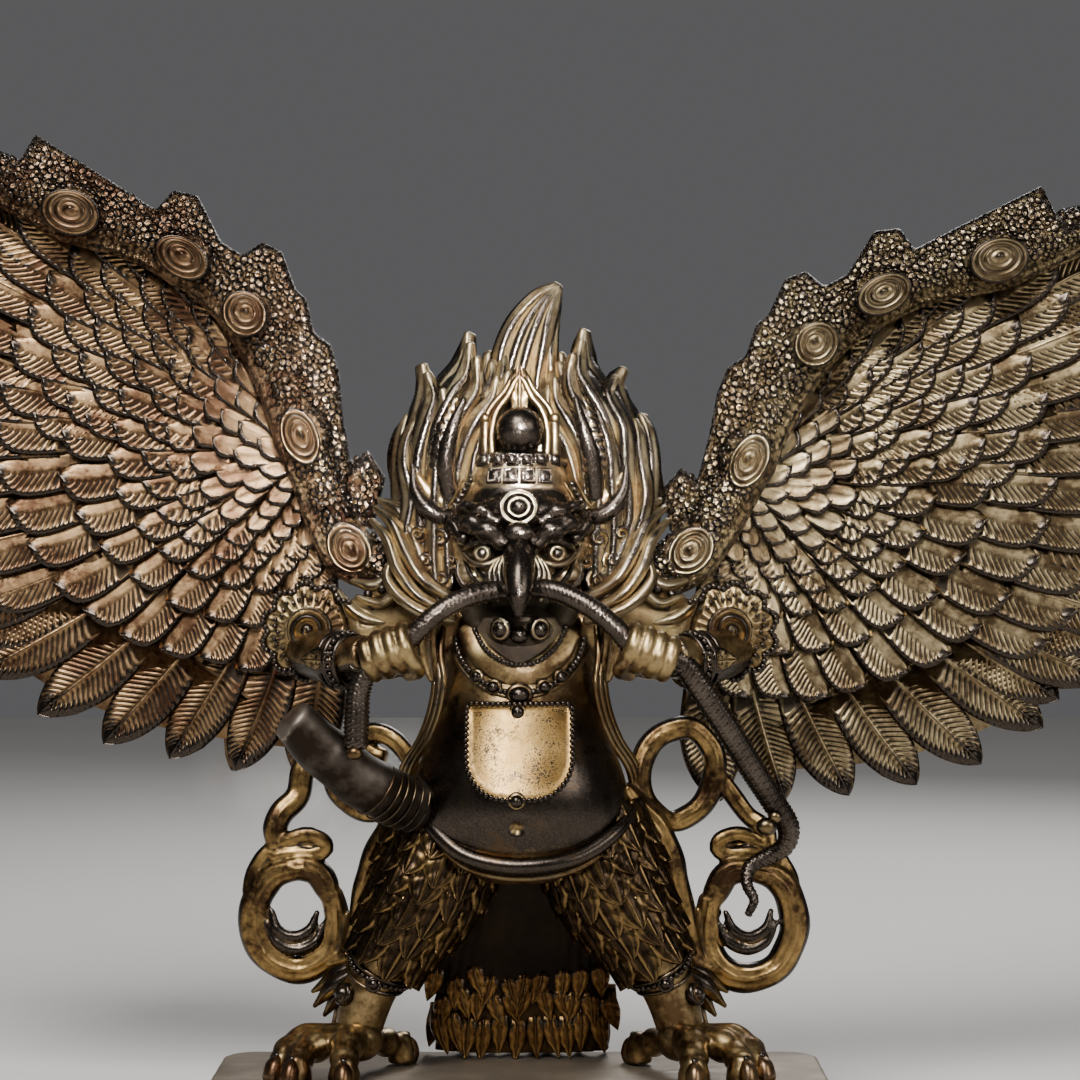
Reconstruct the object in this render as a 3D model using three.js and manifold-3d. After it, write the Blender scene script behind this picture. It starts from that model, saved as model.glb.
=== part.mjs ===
// Garuda figure in gilt bronze: a winged bird-headed figure that stands on a low plinth, holding a serpent
// in its beak and both fists. Millimetres, +Z up, the figure looks towards -Y.
// The origin is the centre of the plinth's underside.
import * as THREE from 'three';
import { mergeVertices } from 'three/addons/utils/BufferGeometryUtils.js';
import Module from 'manifold-3d';

const wasm = await Module();
wasm.setup();

// Driving dimensions in millimetres
const FIGURE_HEIGHT = 360;        // plinth top to the tip of the tallest flame of hair
const PLINTH_HEIGHT = 26;
const PLINTH_SIDE_MARGIN = 25;    // from the outer toes to the plinth's ends
const PLINTH_FRONT_MARGIN = 12;   // from the front claws to the plinth's front
const PLINTH_BACK_MARGIN = 4;     // from the tail to the plinth's rear edge
const PLINTH_CORNER = 14;         // corner radius in plan
const PLINTH_EDGE = 2.5;          // bevel of the top edge
const PLINTH_WAIST = 3;           // set-back of the band between foot and top slab
const PLINTH_SLAB = 9;            // height of the top slab and of the foot
const FIT_GAP = 0.3;              // clearance between two pieces that touch
const SNAKE_RADIUS = 4.6;
const TONGUE_WIDTH = 20;          // the wing's tongue, which sits in the back of the shoulder
const TONGUE_THICKNESS = 9;
const TONGUE_INSERT = 20;         // how far the tongue enters the casting

// Wing angles in degrees: the figure's right wing is carried a little higher than the left
const RIGHT_WING_LIFT = 5.5;
const LEFT_WING_LIFT = 0;

// The figure's pose, proportions and carving are percent of its own height, measured from the body's
// centre line, forward negative, and from the plinth top
const SHARE = FIGURE_HEIGHT / 100;
const OUTER_TOE = 31.9;
const FRONT_CLAW = 17.6;
const TAIL_BACK = 11.2;
const PLINTH_LENGTH = 2 * (OUTER_TOE * SHARE + PLINTH_SIDE_MARGIN);
const PLINTH_DEPTH = (FRONT_CLAW + TAIL_BACK) * SHARE + PLINTH_FRONT_MARGIN + PLINTH_BACK_MARGIN;
const SET_BACK = PLINTH_DEPTH / 2 - PLINTH_BACK_MARGIN - TAIL_BACK * SHARE;
const SNAKE_SHARE = SNAKE_RADIUS / SHARE;
const GAP_SHARE = FIT_GAP / SHARE;

const FRONT = new THREE.Vector3(0, -1, 0);
const UP = new THREE.Vector3(0, 0, 1);
const SIDES = [-1, 1];

function at([x, y, z]) {
  return new THREE.Vector3(x * SHARE, SET_BACK + y * SHARE, PLINTH_HEIGHT + z * SHARE);
}

const mirrored = (points, side) => points.map(([x, y, z]) => [x * side, y, z]);
const lerp = (a, b, t) => a + (b - a) * t;
const smooth = (t) => THREE.MathUtils.smoothstep(t, 0, 1);

// A value along a list of stations, with t from 0 to 1
function along(values, t) {
  if (!Array.isArray(values)) return values;
  const place = Math.min(Math.max(t, 0), 1) * (values.length - 1);
  const index = Math.min(Math.floor(place), values.length - 2);
  return lerp(values[index], values[index + 1], place - index);
}

function solidOf(geometry) {
  const bare = geometry.index ? geometry.clone() : geometry;
  bare.deleteAttribute('normal');
  bare.deleteAttribute('uv');
  const merged = mergeVertices(bare, 1e-4);
  return new wasm.Manifold(new wasm.Mesh({
    numProp: 3,
    vertProperties: Float32Array.from(merged.attributes.position.array),
    triVerts: Uint32Array.from(merged.index.array),
  }));
}

function joined(solids) {
  return solids.reduce((whole, solid) => whole.add(solid));
}

function geometryOf(positions, triangles) {
  const geometry = new THREE.BufferGeometry();
  geometry.setAttribute('position', new THREE.Float32BufferAttribute(positions, 3));
  geometry.setIndex(triangles);
  return geometry;
}

// A closed form swept along a smooth line through points, all in shares of the height. Widths run across
// the facing direction and depths along it. Its two ends are points that stand out by the given lengths. A
// relief gives, for a ring and a side, how far the surface stands out and how far it slides along the line.
function limb(points, widths, options = {}) {
  const { depths = widths, facing = FRONT, sides = 8, phase = 0, steps = 2 * (points.length - 1) } = options;
  const { startPoint = 0.5, endPoint = 0.5, grow = 0, relief = () => [0, 0], places } = options;
  const curve = new THREE.CatmullRomCurve3(points.map(at), false, 'centripetal');
  const positions = [];
  const triangles = [];
  const ring = (i, j) => i * sides + (j % sides);
  for (let i = 0; i <= steps; i += 1) {
    const t = places ? places[i] : i / steps;
    const centre = curve.getPoint(t);
    const tangent = curve.getTangent(t);
    const side = facing.clone().cross(tangent).normalize();
    const normal = tangent.clone().cross(side);
    const width = (along(widths, t) + grow) * SHARE;
    const depth = (along(depths, t) + grow) * SHARE;
    for (let j = 0; j < sides; j += 1) {
      const angle = phase + (2 * Math.PI * j) / sides;
      const [out, slide] = relief(i, j).map((share) => share * SHARE);
      const place = centre.clone();
      place.addScaledVector(side, (width + out) * Math.cos(angle));
      place.addScaledVector(normal, (depth + out) * Math.sin(angle));
      place.addScaledVector(tangent, slide);
      positions.push(...place.toArray());
      if (i < steps) {
        triangles.push(ring(i, j), ring(i, j + 1), ring(i + 1, j + 1));
        triangles.push(ring(i, j), ring(i + 1, j + 1), ring(i + 1, j));
      }
    }
  }
  const apexes = [[0, -(startPoint + grow)], [1, endPoint + grow]];
  for (const [t, stand] of apexes) {
    const apex = curve.getPoint(t).addScaledVector(curve.getTangent(t), stand * SHARE);
    const centre = positions.length / 3;
    positions.push(...apex.toArray());
    for (let j = 0; j < sides; j += 1) {
      if (t === 0) triangles.push(centre, ring(0, j + 1), ring(0, j));
      else triangles.push(centre, ring(steps, j), ring(steps, j + 1));
    }
  }
  return solidOf(geometryOf(positions, triangles));
}

// An ellipsoid, its centre and radii in shares
function blob(centre, radii, options) {
  const { columns, rows, grow = 0 } = options;
  const geometry = new THREE.SphereGeometry(1, columns, rows);
  const [a, b, c] = radii.map((radius) => (radius + grow) * SHARE);
  geometry.rotateX(Math.PI / 2);
  geometry.scale(a, b, c);
  geometry.translate(...at(centre).toArray());
  return solidOf(geometry);
}

// A small bead or boss, cut with twenty faces, or with eight where it is tiny
function pearl(centre, radii, cut = 1) {
  const geometry = cut === 0 ? new THREE.OctahedronGeometry(1) : new THREE.IcosahedronGeometry(1);
  geometry.scale(...radii.map((radius) => radius * SHARE));
  geometry.translate(...at(centre).toArray());
  return solidOf(geometry);
}

// A pointed leaf with a ridge down its front: six corners and eight faces
function leaf(root, tip, width, thickness, widest = 0.55) {
  const start = at(root);
  const end = at(tip);
  const axis = end.clone().sub(start);
  const side = FRONT.clone().cross(axis).normalize();
  const normal = axis.clone().cross(side).normalize();
  const middle = start.clone().addScaledVector(axis, widest);
  const left = middle.clone().addScaledVector(side, -width * SHARE);
  const right = middle.clone().addScaledVector(side, width * SHARE);
  const ridge = middle.clone().addScaledVector(normal, thickness * SHARE);
  const back = middle.clone().addScaledVector(normal, -thickness * SHARE);
  const positions = [start, end, left, right, ridge, back].flatMap((place) => place.toArray());
  const [S, E, L, R, F, B] = [0, 1, 2, 3, 4, 5];
  const faces = [S, L, F, S, F, R, E, F, L, E, R, F, S, B, L, S, R, B, E, L, B, E, B, R];
  return solidOf(geometryOf(positions, faces));
}

// A plate of a flat outline that faces the front, drawn in shares, from depth front to depth back
function frontPlate(outline, front, back) {
  const shape = new THREE.Shape(outline.map(([x, z]) => new THREE.Vector2(x * SHARE, z * SHARE)));
  const geometry = new THREE.ExtrudeGeometry(shape, { depth: (back - front) * SHARE, bevelEnabled: false });
  geometry.rotateX(Math.PI / 2);
  geometry.translate(0, SET_BACK + back * SHARE, PLINTH_HEIGHT);
  return solidOf(geometry);
}

// A box given by two opposite corners in millimetres
function boxBetween(low, high) {
  const size = high.map((value, axis) => value - low[axis]);
  const geometry = new THREE.BoxGeometry(...size);
  geometry.translate(...high.map((value, axis) => (value + low[axis]) / 2));
  return solidOf(geometry);
}

// Torso and head

const TORSO_LINE = [
  [0, -1.1, 57.5], [0, -1.4, 52], [0, -1.9, 47], [0, -2.8, 41.3], [0, -3.3, 35.7], [0, -2.8, 30.6],
  [0, -1.7, 26.4], [0, 0, 23.5],
];
const TORSO_WIDTHS = [7.6, 9.2, 9.9, 11.8, 14.1, 13.4, 9.8, 5];
const TORSO_DEPTHS = [6, 7.2, 7.8, 9.6, 12, 11.4, 8.6, 4.5];

function torso(grow = 0) {
  return limb(TORSO_LINE, TORSO_WIDTHS, { depths: TORSO_DEPTHS, sides: 12, steps: 7, grow });
}

const SHOULDER = [10.7, 0, 58.1];
const ARM_LINE = [SHOULDER, [19.2, 1.2, 56.3], [26.6, -2.8, 54.3], [22.6, -11.7, 52.4], [18.4, -16.1, 53.1]];
const ARM_RADII = [4.6, 3.9, 3.7, 2.9, 2.6];

// The large masses that the wings and the serpent keep clear of
function coreMasses(grow = 0) {
  const masses = [torso(grow)];
  masses.push(blob([0.2, -3.5, 67], [9.4, 9.2, 11], { columns: 9, rows: 6, grow }));
  for (const side of SIDES) {
    masses.push(blob([9.6 * side, 1.6, 57.4], [6, 5, 7.4], { columns: 6, rows: 5, grow }));
    masses.push(limb(mirrored(ARM_LINE, side), ARM_RADII, { sides: 6, steps: 5, grow }));
  }
  return joined(masses);
}

const FLAME_TIPS = [
  // across, height and depth of each flame's tip, from the viewer's left to the right, and how much of
  // the way out from the foot the groove after it reaches
  [-13.6, 66, 0, 0.99], [-15.2, 75.6, 0.6, 0.99], [-14.4, 83, 1.2, 0.93], [-12.3, 89.4, 1.4, 0.9],
  [-6.7, 93.4, 1, 0.93], [-3.9, 91, 0.6, 0.96], [-0.6, 96.4, 0.2, 0.99], [4.5, 99.9, 0, 0.88],
  [5.6, 90.8, 0.8, 0.95], [8, 93.8, 1, 0.9], [13.2, 88.8, 1.4, 0.93], [15.6, 83, 1.4, 0.99],
  [16.7, 75.6, 0.6, 0.99], [13.8, 66, 0, 1],
];
const FLAME_FOOT = [0.2, 70];
const FLAME_RINGS = [
  // share of the way from foot to tip, depth in front or behind at the ridges and in the grooves between
  [0.42, -5.4, -5], [0.74, -3.6, -2.2], [0.74, 5.4, 4.4], [0.42, 7.4, 6.8],
];

// The hair: flames fanned about the head as one closed shell, ridged down each flame and grooved between them
function flames() {
  const rim = [];
  FLAME_TIPS.forEach((tip, i) => {
    rim.push({ tip, ridge: true });
    if (i === FLAME_TIPS.length - 1) return;
    const next = FLAME_TIPS[i + 1];
    const between = [0, 1, 2].map((axis) => (tip[axis] + next[axis]) / 2);
    between[0] = lerp(FLAME_FOOT[0], between[0], tip[3]);
    between[1] = lerp(FLAME_FOOT[1], between[1], tip[3]);
    rim.push({ tip: between, ridge: false });
  });
  const positions = [...at([FLAME_FOOT[0], -5.4, FLAME_FOOT[1]]).toArray()];
  const triangles = [];
  const [front, back] = [FLAME_RINGS.slice(0, 2), FLAME_RINGS.slice(2)];
  const rings = [...front, null, ...back];
  for (const ring of rings) {
    for (const { tip, ridge } of rim) {
      const [share, onRidge, inGroove] = ring || [1, tip[2], tip[2]];
      const x = lerp(FLAME_FOOT[0], tip[0], share);
      const z = lerp(FLAME_FOOT[1], tip[1], share);
      positions.push(...at([x, ridge ? onRidge : inGroove, z]).toArray());
    }
  }
  const last = positions.length / 3;
  positions.push(...at([FLAME_FOOT[0], 7.4, FLAME_FOOT[1]]).toArray());
  const count = rim.length;
  for (let step = 0; step < count - 1; step += 1) {
    triangles.push(0, 2 + step, 1 + step);
    for (let ring = 0; ring < rings.length - 1; ring += 1) {
      const low = 1 + ring * count + step;
      triangles.push(low, low + count + 1, low + count, low, low + 1, low + count + 1);
    }
    const low = 1 + (rings.length - 1) * count + step;
    triangles.push(last, low, low + 1);
  }
  for (const end of [0, count - 1]) {
    const edge = [0, ...rings.map((ring, index) => 1 + index * count + end), last];
    for (let i = 1; i < edge.length - 1; i += 1) {
      if (end === 0) triangles.push(edge[0], edge[i], edge[i + 1]);
      else triangles.push(edge[0], edge[i + 1], edge[i]);
    }
  }
  return solidOf(geometryOf(positions, triangles));
}

const SIDE_TUFTS = [
  // root, tip and half-width of each tuft beside the face
  [[7.4, -2.6, 59.6], [17.6, -0.6, 70.4], 2],
  [[6.4, -4.6, 59], [15.6, -3, 64.2], 1.8],
];
const HORN = [[5.8, -5.2, 72], [9.4, -6.6, 77.8], [8.8, -6.2, 81.6], [7.4, -5.6, 84.6]];
const EAR = [[7.6, -4.8, 69.8], [14, -5, 75.6]];
const BEAK = [[0, -9.5, 68], [0, -14.4, 65.6], [0, -17.4, 61.6], [0, -17.9, 57.8]];
const BROW = [[1, -11.8, 68.6], [4.4, -11.4, 69.6], [8, -7.6, 68.4]];

function head() {
  const pieces = [];
  for (const side of SIDES) {
    for (const [root, tip, width] of SIDE_TUFTS) {
      pieces.push(leaf(...mirrored([root, tip], side), width, 1.4));
    }
    pieces.push(limb(mirrored(HORN, side), [1.6, 1.3, 1, 0.4], { sides: 4, steps: 3 }));
    pieces.push(leaf(...mirrored(EAR, side), 1.9, 1));
    pieces.push(limb(mirrored(BROW, side), [1.4, 1.7, 1.1], { sides: 4, steps: 2 }));
    pieces.push(pearl([4.5 * side, -10.4, 65.6], [2, 2.1, 1.8]));
    pieces.push(pearl([5.4 * side, -9, 62], [3, 3, 2.4]));
  }
  pieces.push(limb(BEAK, [2.2, 2.3, 1.8, 0.7], { depths: [2.2, 2.2, 1.9, 0.7], sides: 6, steps: 4 }));
  pieces.push(blob([-0.1, -11, 71.5], [2.3, 2.3, 2.3], { columns: 6, rows: 4 }));
  pieces.push(blob([0, -7.4, 56.2], [4.6, 3.2, 3], { columns: 6, rows: 4 }));
  pieces.push(...diadem());
  return joined(pieces);
}

const DIADEM_STUDS = 5;

function diadem() {
  const pieces = [];
  const band = [[-5.6, -5, 76.4], [0, -8.4, 76.9], [5.6, -5, 76.4]];
  pieces.push(limb(band, 1.4, { sides: 4, facing: UP, steps: 2 }));
  for (let i = 0; i < DIADEM_STUDS; i += 1) {
    const across = lerp(-4, 4, i / (DIADEM_STUDS - 1));
    pieces.push(pearl([across, 0.108 * across * across - 9.3, 76.9], [0.8, 1, 0.8], 0));
  }
  pieces.push(blob([0.1, -6, 80], [2.2, 3, 2.8], { columns: 7, rows: 4 }));
  pieces.push(leaf([0, -4.8, 80], [0, -5, 86.6], 2.4, 1.8, 0.4));
  return pieces;
}

// The apron on the belly and the necklaces

const BIB_HALF = 6.9;
const BIB_TOP = 47.3;
const BIB_BOTTOM = 35.2;
const BIB_PROUD = 0.28;
const BIB_BORDER = 0.7;

function bibOutline(inset) {
  const half = BIB_HALF - inset;
  const bottom = BIB_BOTTOM + inset;
  const top = BIB_TOP - inset;
  const corner = 5.2 - inset;
  const outline = [[-half, top], [half, top]];
  for (let step = 0; step <= 3; step += 1) {
    const angle = (-Math.PI / 2) * (step / 3);
    outline.push([half - corner + corner * Math.cos(angle), bottom + corner + corner * Math.sin(angle)]);
  }
  for (let step = 0; step <= 3; step += 1) {
    const angle = -Math.PI / 2 - (Math.PI / 2) * (step / 3);
    outline.push([corner - half + corner * Math.cos(angle), bottom + corner + corner * Math.sin(angle)]);
  }
  return outline.reverse();
}

// Walks over the torso's front: the depth of its surface at a height and a distance from the centre line
function torsoFront(across, height) {
  const last = TORSO_LINE.length - 1;
  let index = 0;
  while (index < last - 1 && TORSO_LINE[index + 1][2] > height) index += 1;
  const t = (TORSO_LINE[index][2] - height) / (TORSO_LINE[index][2] - TORSO_LINE[index + 1][2]);
  const width = lerp(TORSO_WIDTHS[index], TORSO_WIDTHS[index + 1], t);
  const depth = lerp(TORSO_DEPTHS[index], TORSO_DEPTHS[index + 1], t);
  const centre = lerp(TORSO_LINE[index][1], TORSO_LINE[index + 1][1], t);
  return centre - depth * Math.sqrt(Math.max(0, 1 - (across / width) ** 2));
}

const SIDE_FOLD = [[9.2, -3, 56.5], [10.6, -4, 52], [9.8, -4.6, 47], [10.8, -4, 44]];

function dress() {
  const pieces = [];
  const outer = frontPlate(bibOutline(0), -20, 0).intersect(torso(BIB_PROUD + 0.5));
  const field = frontPlate(bibOutline(BIB_BORDER), -20, -4).subtract(torso(BIB_PROUD));
  pieces.push(outer.subtract(field));
  pieces.push(pearl([-0.3, torsoFront(0, 35.2) - 0.2, 35.2], [1.1, 1, 1.1]));
  const beads = 7;
  for (let i = 0; i < beads; i += 1) {
    const across = lerp(-4.6, 4.6, i / (beads - 1));
    const height = 49.2 + 0.05 * across * across - (i === 3 ? 0.4 : 0);
    const size = i === 3 ? 1.25 : 0.8;
    pieces.push(pearl([across, torsoFront(across, height) - 0.2, height], [size, 1, size], i === 3 ? 1 : 0));
  }
  pieces.push(pearl([0, torsoFront(0, 46) - 0.2, 46], [1, 1, 1.3], 0));
  const rim = [];
  const rimSteps = 8;
  for (let i = 0; i <= rimSteps; i += 1) {
    const across = lerp(-13.4, 13.4, i / rimSteps);
    const height = 27.4 + 0.043 * across * across;
    rim.push([across, torsoFront(across, height) + 0.1, height]);
  }
  pieces.push(limb(rim, 1.1, { sides: 4, steps: 6 }));
  for (const side of SIDES) {
    pieces.push(limb(mirrored(SIDE_FOLD, side), 1.2, { depths: 1.6, sides: 4, steps: 3 }));
  }
  return joined(pieces);
}

// Arms

const FIST = [15.9, -17.1, 53.3];
const ELBOW = [26, -5.2, 55.8];
const FAN_RADIUS = 6.4;
const FAN_SCALLOPS = 6;

function elbowFan(side) {
  const outline = [];
  for (let i = 0; i < FAN_SCALLOPS * 2; i += 1) {
    const angle = lerp(-100, 130, i / (FAN_SCALLOPS * 2 - 1)) * (Math.PI / 180);
    const reach = FAN_RADIUS * (i % 2 === 0 ? 1 : 0.84);
    outline.push([(ELBOW[0] + reach * Math.cos(angle)) * side, ELBOW[2] + reach * Math.sin(angle)]);
  }
  outline.push([(ELBOW[0] - 3) * side, ELBOW[2]]);
  const plate = frontPlate(side > 0 ? outline : outline.reverse(), ELBOW[1] - 1.6, ELBOW[1] + 0.8);
  const bossCentre = [(ELBOW[0] + 0.6) * side, ELBOW[1] - 1.4, ELBOW[2] + 0.4];
  return plate.add(blob(bossCentre, [3.2, 2.4, 3.2], { columns: 6, rows: 4 }));
}

const FIST_RADII = [2.4, 3.3, 2.9, 3.5, 3, 3.5, 3, 3.4, 2.6];

// A closed fist round the serpent, with a ridge for each finger
function fist(side) {
  const ends = [[FIST[0] - 3.2, FIST[1] - 0.2, FIST[2] + 0.6], [FIST[0] + 3.2, FIST[1] + 0.4, FIST[2] - 0.4]];
  return limb(mirrored(ends, side), FIST_RADII, { sides: 6, steps: FIST_RADII.length - 1, facing: FRONT });
}

const CUFF = [[22.8, -11.7, 52.5], [20.4, -14, 52.4]];

function arm(side) {
  const cuff = limb(mirrored(CUFF, side), 3.4, { sides: 6, steps: 1, facing: UP });
  return joined([elbowFan(side), cuff, fist(side)]);
}

// Legs, feet and tail

const LEG_LINE = [
  [9.2, -1.1, 30], [12.4, -2.8, 22.2], [15.9, -3.9, 16.2], [18.7, -4.4, 11], [20.5, -4.7, 5],
];
const LEG_RADII = [7.6, 6.6, 4.7, 3.5, 2.9];
const TOES = [
  // points and half-width of each toe, in front, outside and behind
  [[20, -5, 5], [21.4, -11, 4.4], [21.4, -15, 2.2], 2.3],
  [[20.6, -5, 5], [26.2, -9.6, 4.1], [27.6, -13.8, 2.2], 2.3],
  [[20.8, -4.4, 5], [27.6, -7.6, 4.4], [29.4, -11.2, 3.6], 2.4],
  [[19, -3.4, 4], [16.6, 0.6, 3], [15, 2.8, 1.6], 2],
];
const LEG_SIDES = 10;
// places along the leg: each row of feathers ends in a proud ring and starts the next from a sunk one
const LEG_PLACES = [0, 0.18, 0.2, 0.34, 0.36, 0.5, 0.52, 0.76, 1];
const FEATHER_RINGS = 6;
const FEATHER_PROUD = 0.7;
const FEATHER_SLIDE = 1.1;

const GREAVE_BAND = [[13.8, -7.6, 15.4], [16.8, -8.2, 13.4], [20.2, -6.4, 14.6]];
const SPUR = [[20.6, -3.6, 12.2], [25, -2.6, 8.6]];

// Rows of leaf-shaped feathers round the thigh: tips on every other side, staggered from row to row
function thighRelief(ring, side) {
  if (ring === 0 || ring > FEATHER_RINGS) return [0, 0];
  const row = Math.floor((ring - 1) / 2);
  const onTip = (side + row) % 2 === 0;
  const proud = ring % 2 === 1 ? FEATHER_PROUD : -FEATHER_PROUD * 0.4;
  return [onTip ? proud : proud * 0.5, onTip ? FEATHER_SLIDE : -FEATHER_SLIDE];
}

function leg(side) {
  const steps = LEG_PLACES.length - 1;
  const thigh = { sides: LEG_SIDES, steps, places: LEG_PLACES, relief: thighRelief };
  const pieces = [limb(mirrored(LEG_LINE, side), LEG_RADII, thigh)];
  pieces.push(limb(mirrored(GREAVE_BAND, side), 0.9, { sides: 4, steps: 2 }));
  pieces.push(leaf(...mirrored(SPUR, side), 2.1, 1.1));
  for (const [root, middle, tip, width] of TOES) {
    pieces.push(limb(mirrored([root, middle, tip], side), [width, width, width * 0.55], {
      facing: UP, sides: 5, steps: 2, endPoint: 0.9,
    }));
  }
  return joined(pieces);
}

const TAIL_LINE = [[0.2, 2.4, 27], [0.2, 5.6, 15], [0.2, 7.8, 6], [0.2, 8.8, 1]];
const TAIL_FRINGE = 5;

function tail() {
  const pieces = [limb(TAIL_LINE, [8, 10.4, 11.6, 11.6], { depths: [2.6, 2.2, 2, 1.8], sides: 8, steps: 3 })];
  for (let i = 0; i < TAIL_FRINGE; i += 1) {
    const across = lerp(-10.6, 10.8, i / (TAIL_FRINGE - 1));
    const forward = 6.6 + 0.012 * across * across;
    pieces.push(leaf([across * 0.94, forward - 0.4, 9.4], [across, forward + 0.6, -0.4], 1.9, 1.4, 0.55));
  }
  return joined(pieces);
}

// Scarves, seen from the front: each is a flat band whose path is given in shares

const RIBBON_THICKNESS = 0.8;     // as a share of the width
const RIBBONS = [
  // half-width and path: the ring at the hip, the hanging band, the small loop, the large ring in two
  // stretches and the band on the leg, at the figure's left and then at its right
  [1.5, [[18.8, -0.6, 31.6], [15.9, -1.1, 34.2], [15.4, -0.6, 38.6], [17.9, 0.6, 42.3], [22, 1.4, 43.1],
    [24.7, 1.9, 40.1], [24.6, 1.7, 35.9], [21.8, 0.8, 32.6]]],
  [1.2, [[24.2, 2.2, 39], [27.2, 2.2, 34.5], [29.2, 1.7, 32], [31.3, 0.8, 30.2], [32, 0.3, 28]]],
  [1.2, [[30.6, 0.6, 29.2], [27.4, 0, 29.9], [24.9, -0.6, 28], [26, -0.6, 25.8], [29, -0.6, 25.2]]],
  [1.9, [[28.6, -0.8, 25.4], [32.4, -0.3, 24.4], [34.6, 0, 21], [34.8, 0, 16.9], [32.8, 0, 13],
    [28.9, 0, 11.4], [25, 0, 13.2], [23.6, 0, 17.4], [24.2, -0.6, 21.6]]],
  [1.7, [[30, -0.7, 25.4], [26.4, -0.8, 24.8], [24.2, -0.6, 21]]],
  [1.9, [[13, -3.2, 35.6], [17.7, -2.8, 29.9], [19.5, -2.2, 24.2], [20.6, -1.7, 19], [21.6, -0.8, 14.5],
    [24.6, 0, 12.6]]],
  [1.4, [[-11.6, 0.4, 35.2], [-17.3, 2, 37.7], [-19.2, 2.8, 41.3], [-17.6, 2.2, 43.6],
    [-14.6, 0.6, 42.4]]],
  [1.6, [[-17.6, 2.4, 39.4], [-22.6, 3.6, 40.6], [-27.6, 2.8, 38.3], [-28.4, 2.2, 34.5],
    [-30.4, 1.1, 32.5], [-30.6, 0.6, 30.4]]],
  [1.2, [[-31, 0.4, 31.2], [-30.9, 0, 28.4], [-28.2, -0.4, 27.2], [-25, -0.3, 27.6], [-24.9, 0, 29.6],
    [-27.6, 0.3, 30.4]]],
  [1.9, [[-27.2, -0.8, 25.7], [-31.6, -0.3, 24.3], [-33.6, 0, 21], [-33.9, 0, 17.4], [-31.8, 0, 13.9],
    [-28.2, 0, 12.6], [-24.6, 0, 14.2], [-23.2, 0, 18], [-24, -0.6, 22.4]]],
  [1.7, [[-29.4, -0.7, 25.6], [-26, -0.8, 25.2], [-24, -0.6, 21.8]]],
  [1.9, [[-12.8, -3.2, 35], [-17, -2.8, 29.3], [-19, -2.2, 24.2], [-20, -1.7, 19], [-21.3, -0.8, 14.8],
    [-24, 0, 13.4]]],
];

function scarves() {
  const ends = { startPoint: 0.3, endPoint: 0.3 };
  return joined(RIBBONS.map(([half, points]) => {
    const corner = half * Math.SQRT2;
    const section = { depths: corner * RIBBON_THICKNESS, sides: 4, phase: Math.PI / 4 };
    return limb(points, corner, { ...section, ...ends, steps: points.length - 1 });
  }));
}

const STUB_LINE = [
  [-8.6, -3.3, 32.9], [-14.8, -8.9, 34.9], [-19, -12.2, 37.4], [-23.7, -14.4, 41.3], [-27.6, -16, 45.2],
];
const STUB_RADII = [3.4, 3.4, 3.4, 3.3, 2.7];

// The serpent

const SNAKE_LINE = [
  [-19.8, -16.7, 42.2], [-19.7, -16.7, 46], [-19.4, -16.7, 49.2], [-17.8, -16.9, 52.2],
  [-15, -17.2, 53.9], [-12.9, -17.8, 55.6], [-10.2, -17.8, 58.1], [-7.2, -16.9, 59.9],
  [-3.8, -15.3, 60.9], [0.1, -13.6, 61.2],
  [4, -15.3, 61.1], [8.6, -16.9, 59.1], [11.6, -17.5, 56.7], [13.7, -17.5, 54.5], [16.5, -17.2, 53.3],
  [19.6, -16.7, 52.4], [22.1, -15.6, 49.2], [25.3, -13.3, 44.5], [28.5, -10.6, 39.4], [31.5, -7.8, 34.8],
  [33.7, -5.8, 31.1], [33.3, -4.6, 28.7], [31.3, -4.2, 27.4], [29, -4.8, 26.2], [28.5, -6.1, 24.1],
  [29.3, -6.9, 22.2], [28.6, -7.2, 20.6],
];
const SNAKE_GIRTH = [
  // radius at each point, as a share of the full radius
  1.1, 1.15, 1.1, 1, 1, 1, 0.95, 0.95, 0.95, 0.9, 0.95, 1, 1, 1, 1.1, 1.15, 1.2, 1.25, 1.2, 1.15,
  1.05, 0.9, 0.8, 0.65, 0.5, 0.4, 0.3,
];

function snake(grow = 0) {
  return limb(SNAKE_LINE, SNAKE_GIRTH.map((girth) => girth * SNAKE_SHARE), {
    sides: 6, steps: 26, facing: new THREE.Vector3(0, -1, 0.02), endPoint: 0.4, grow,
  });
}

// Wings, drawn for the figure's left side in shares, then lifted about the root and mirrored

const WING_ROOT = [22, 65.5];
const FAN_CENTRE = [28.8, 75.1];
const FAN_LOW = -100;
const FAN_FULL = 2;
const FAN_FALL = 88;
const FAN_SPREAD = 0.25;         // how much wider the lowest feathers stand apart than the middle ones
const FAN_DEPTH = 11.1;
const FAN_SWEEP = 2.4;
const FAN_REACH = 59.5;
const FAN_SHORTENING = 18;
const BAR_LINE = [
  [14.5, 6.1, 59.5], [17.5, 6.1, 62.7], [22, 6.1, 65.5], [26.2, 6.7, 71.8], [29.4, 7.2, 77.6],
  [33.1, 7.8, 85.4], [38, 8.1, 92.6], [42.3, 8.3, 96.5], [46.6, 8.3, 99.1], [54, 8.3, 102.1],
  [61.5, 7.8, 103.4], [68.8, 7.2, 106.2], [75.1, 6.8, 108.2], [80.5, 6.6, 108.4], [84.6, 6.6, 106.6],
];
const BAR_WIDTHS = [2.4, 3, 3.2, 3.1, 3, 3, 3.1, 3.1, 3.2, 3.2, 3.2, 3, 2.6, 2, 1.2];
const BAR_BOSSES = [[22, 65.8], [29.5, 77.4], [38.1, 92.4], [46.8, 98.8], [61.6, 103.2], [75.4, 107.2]];
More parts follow.
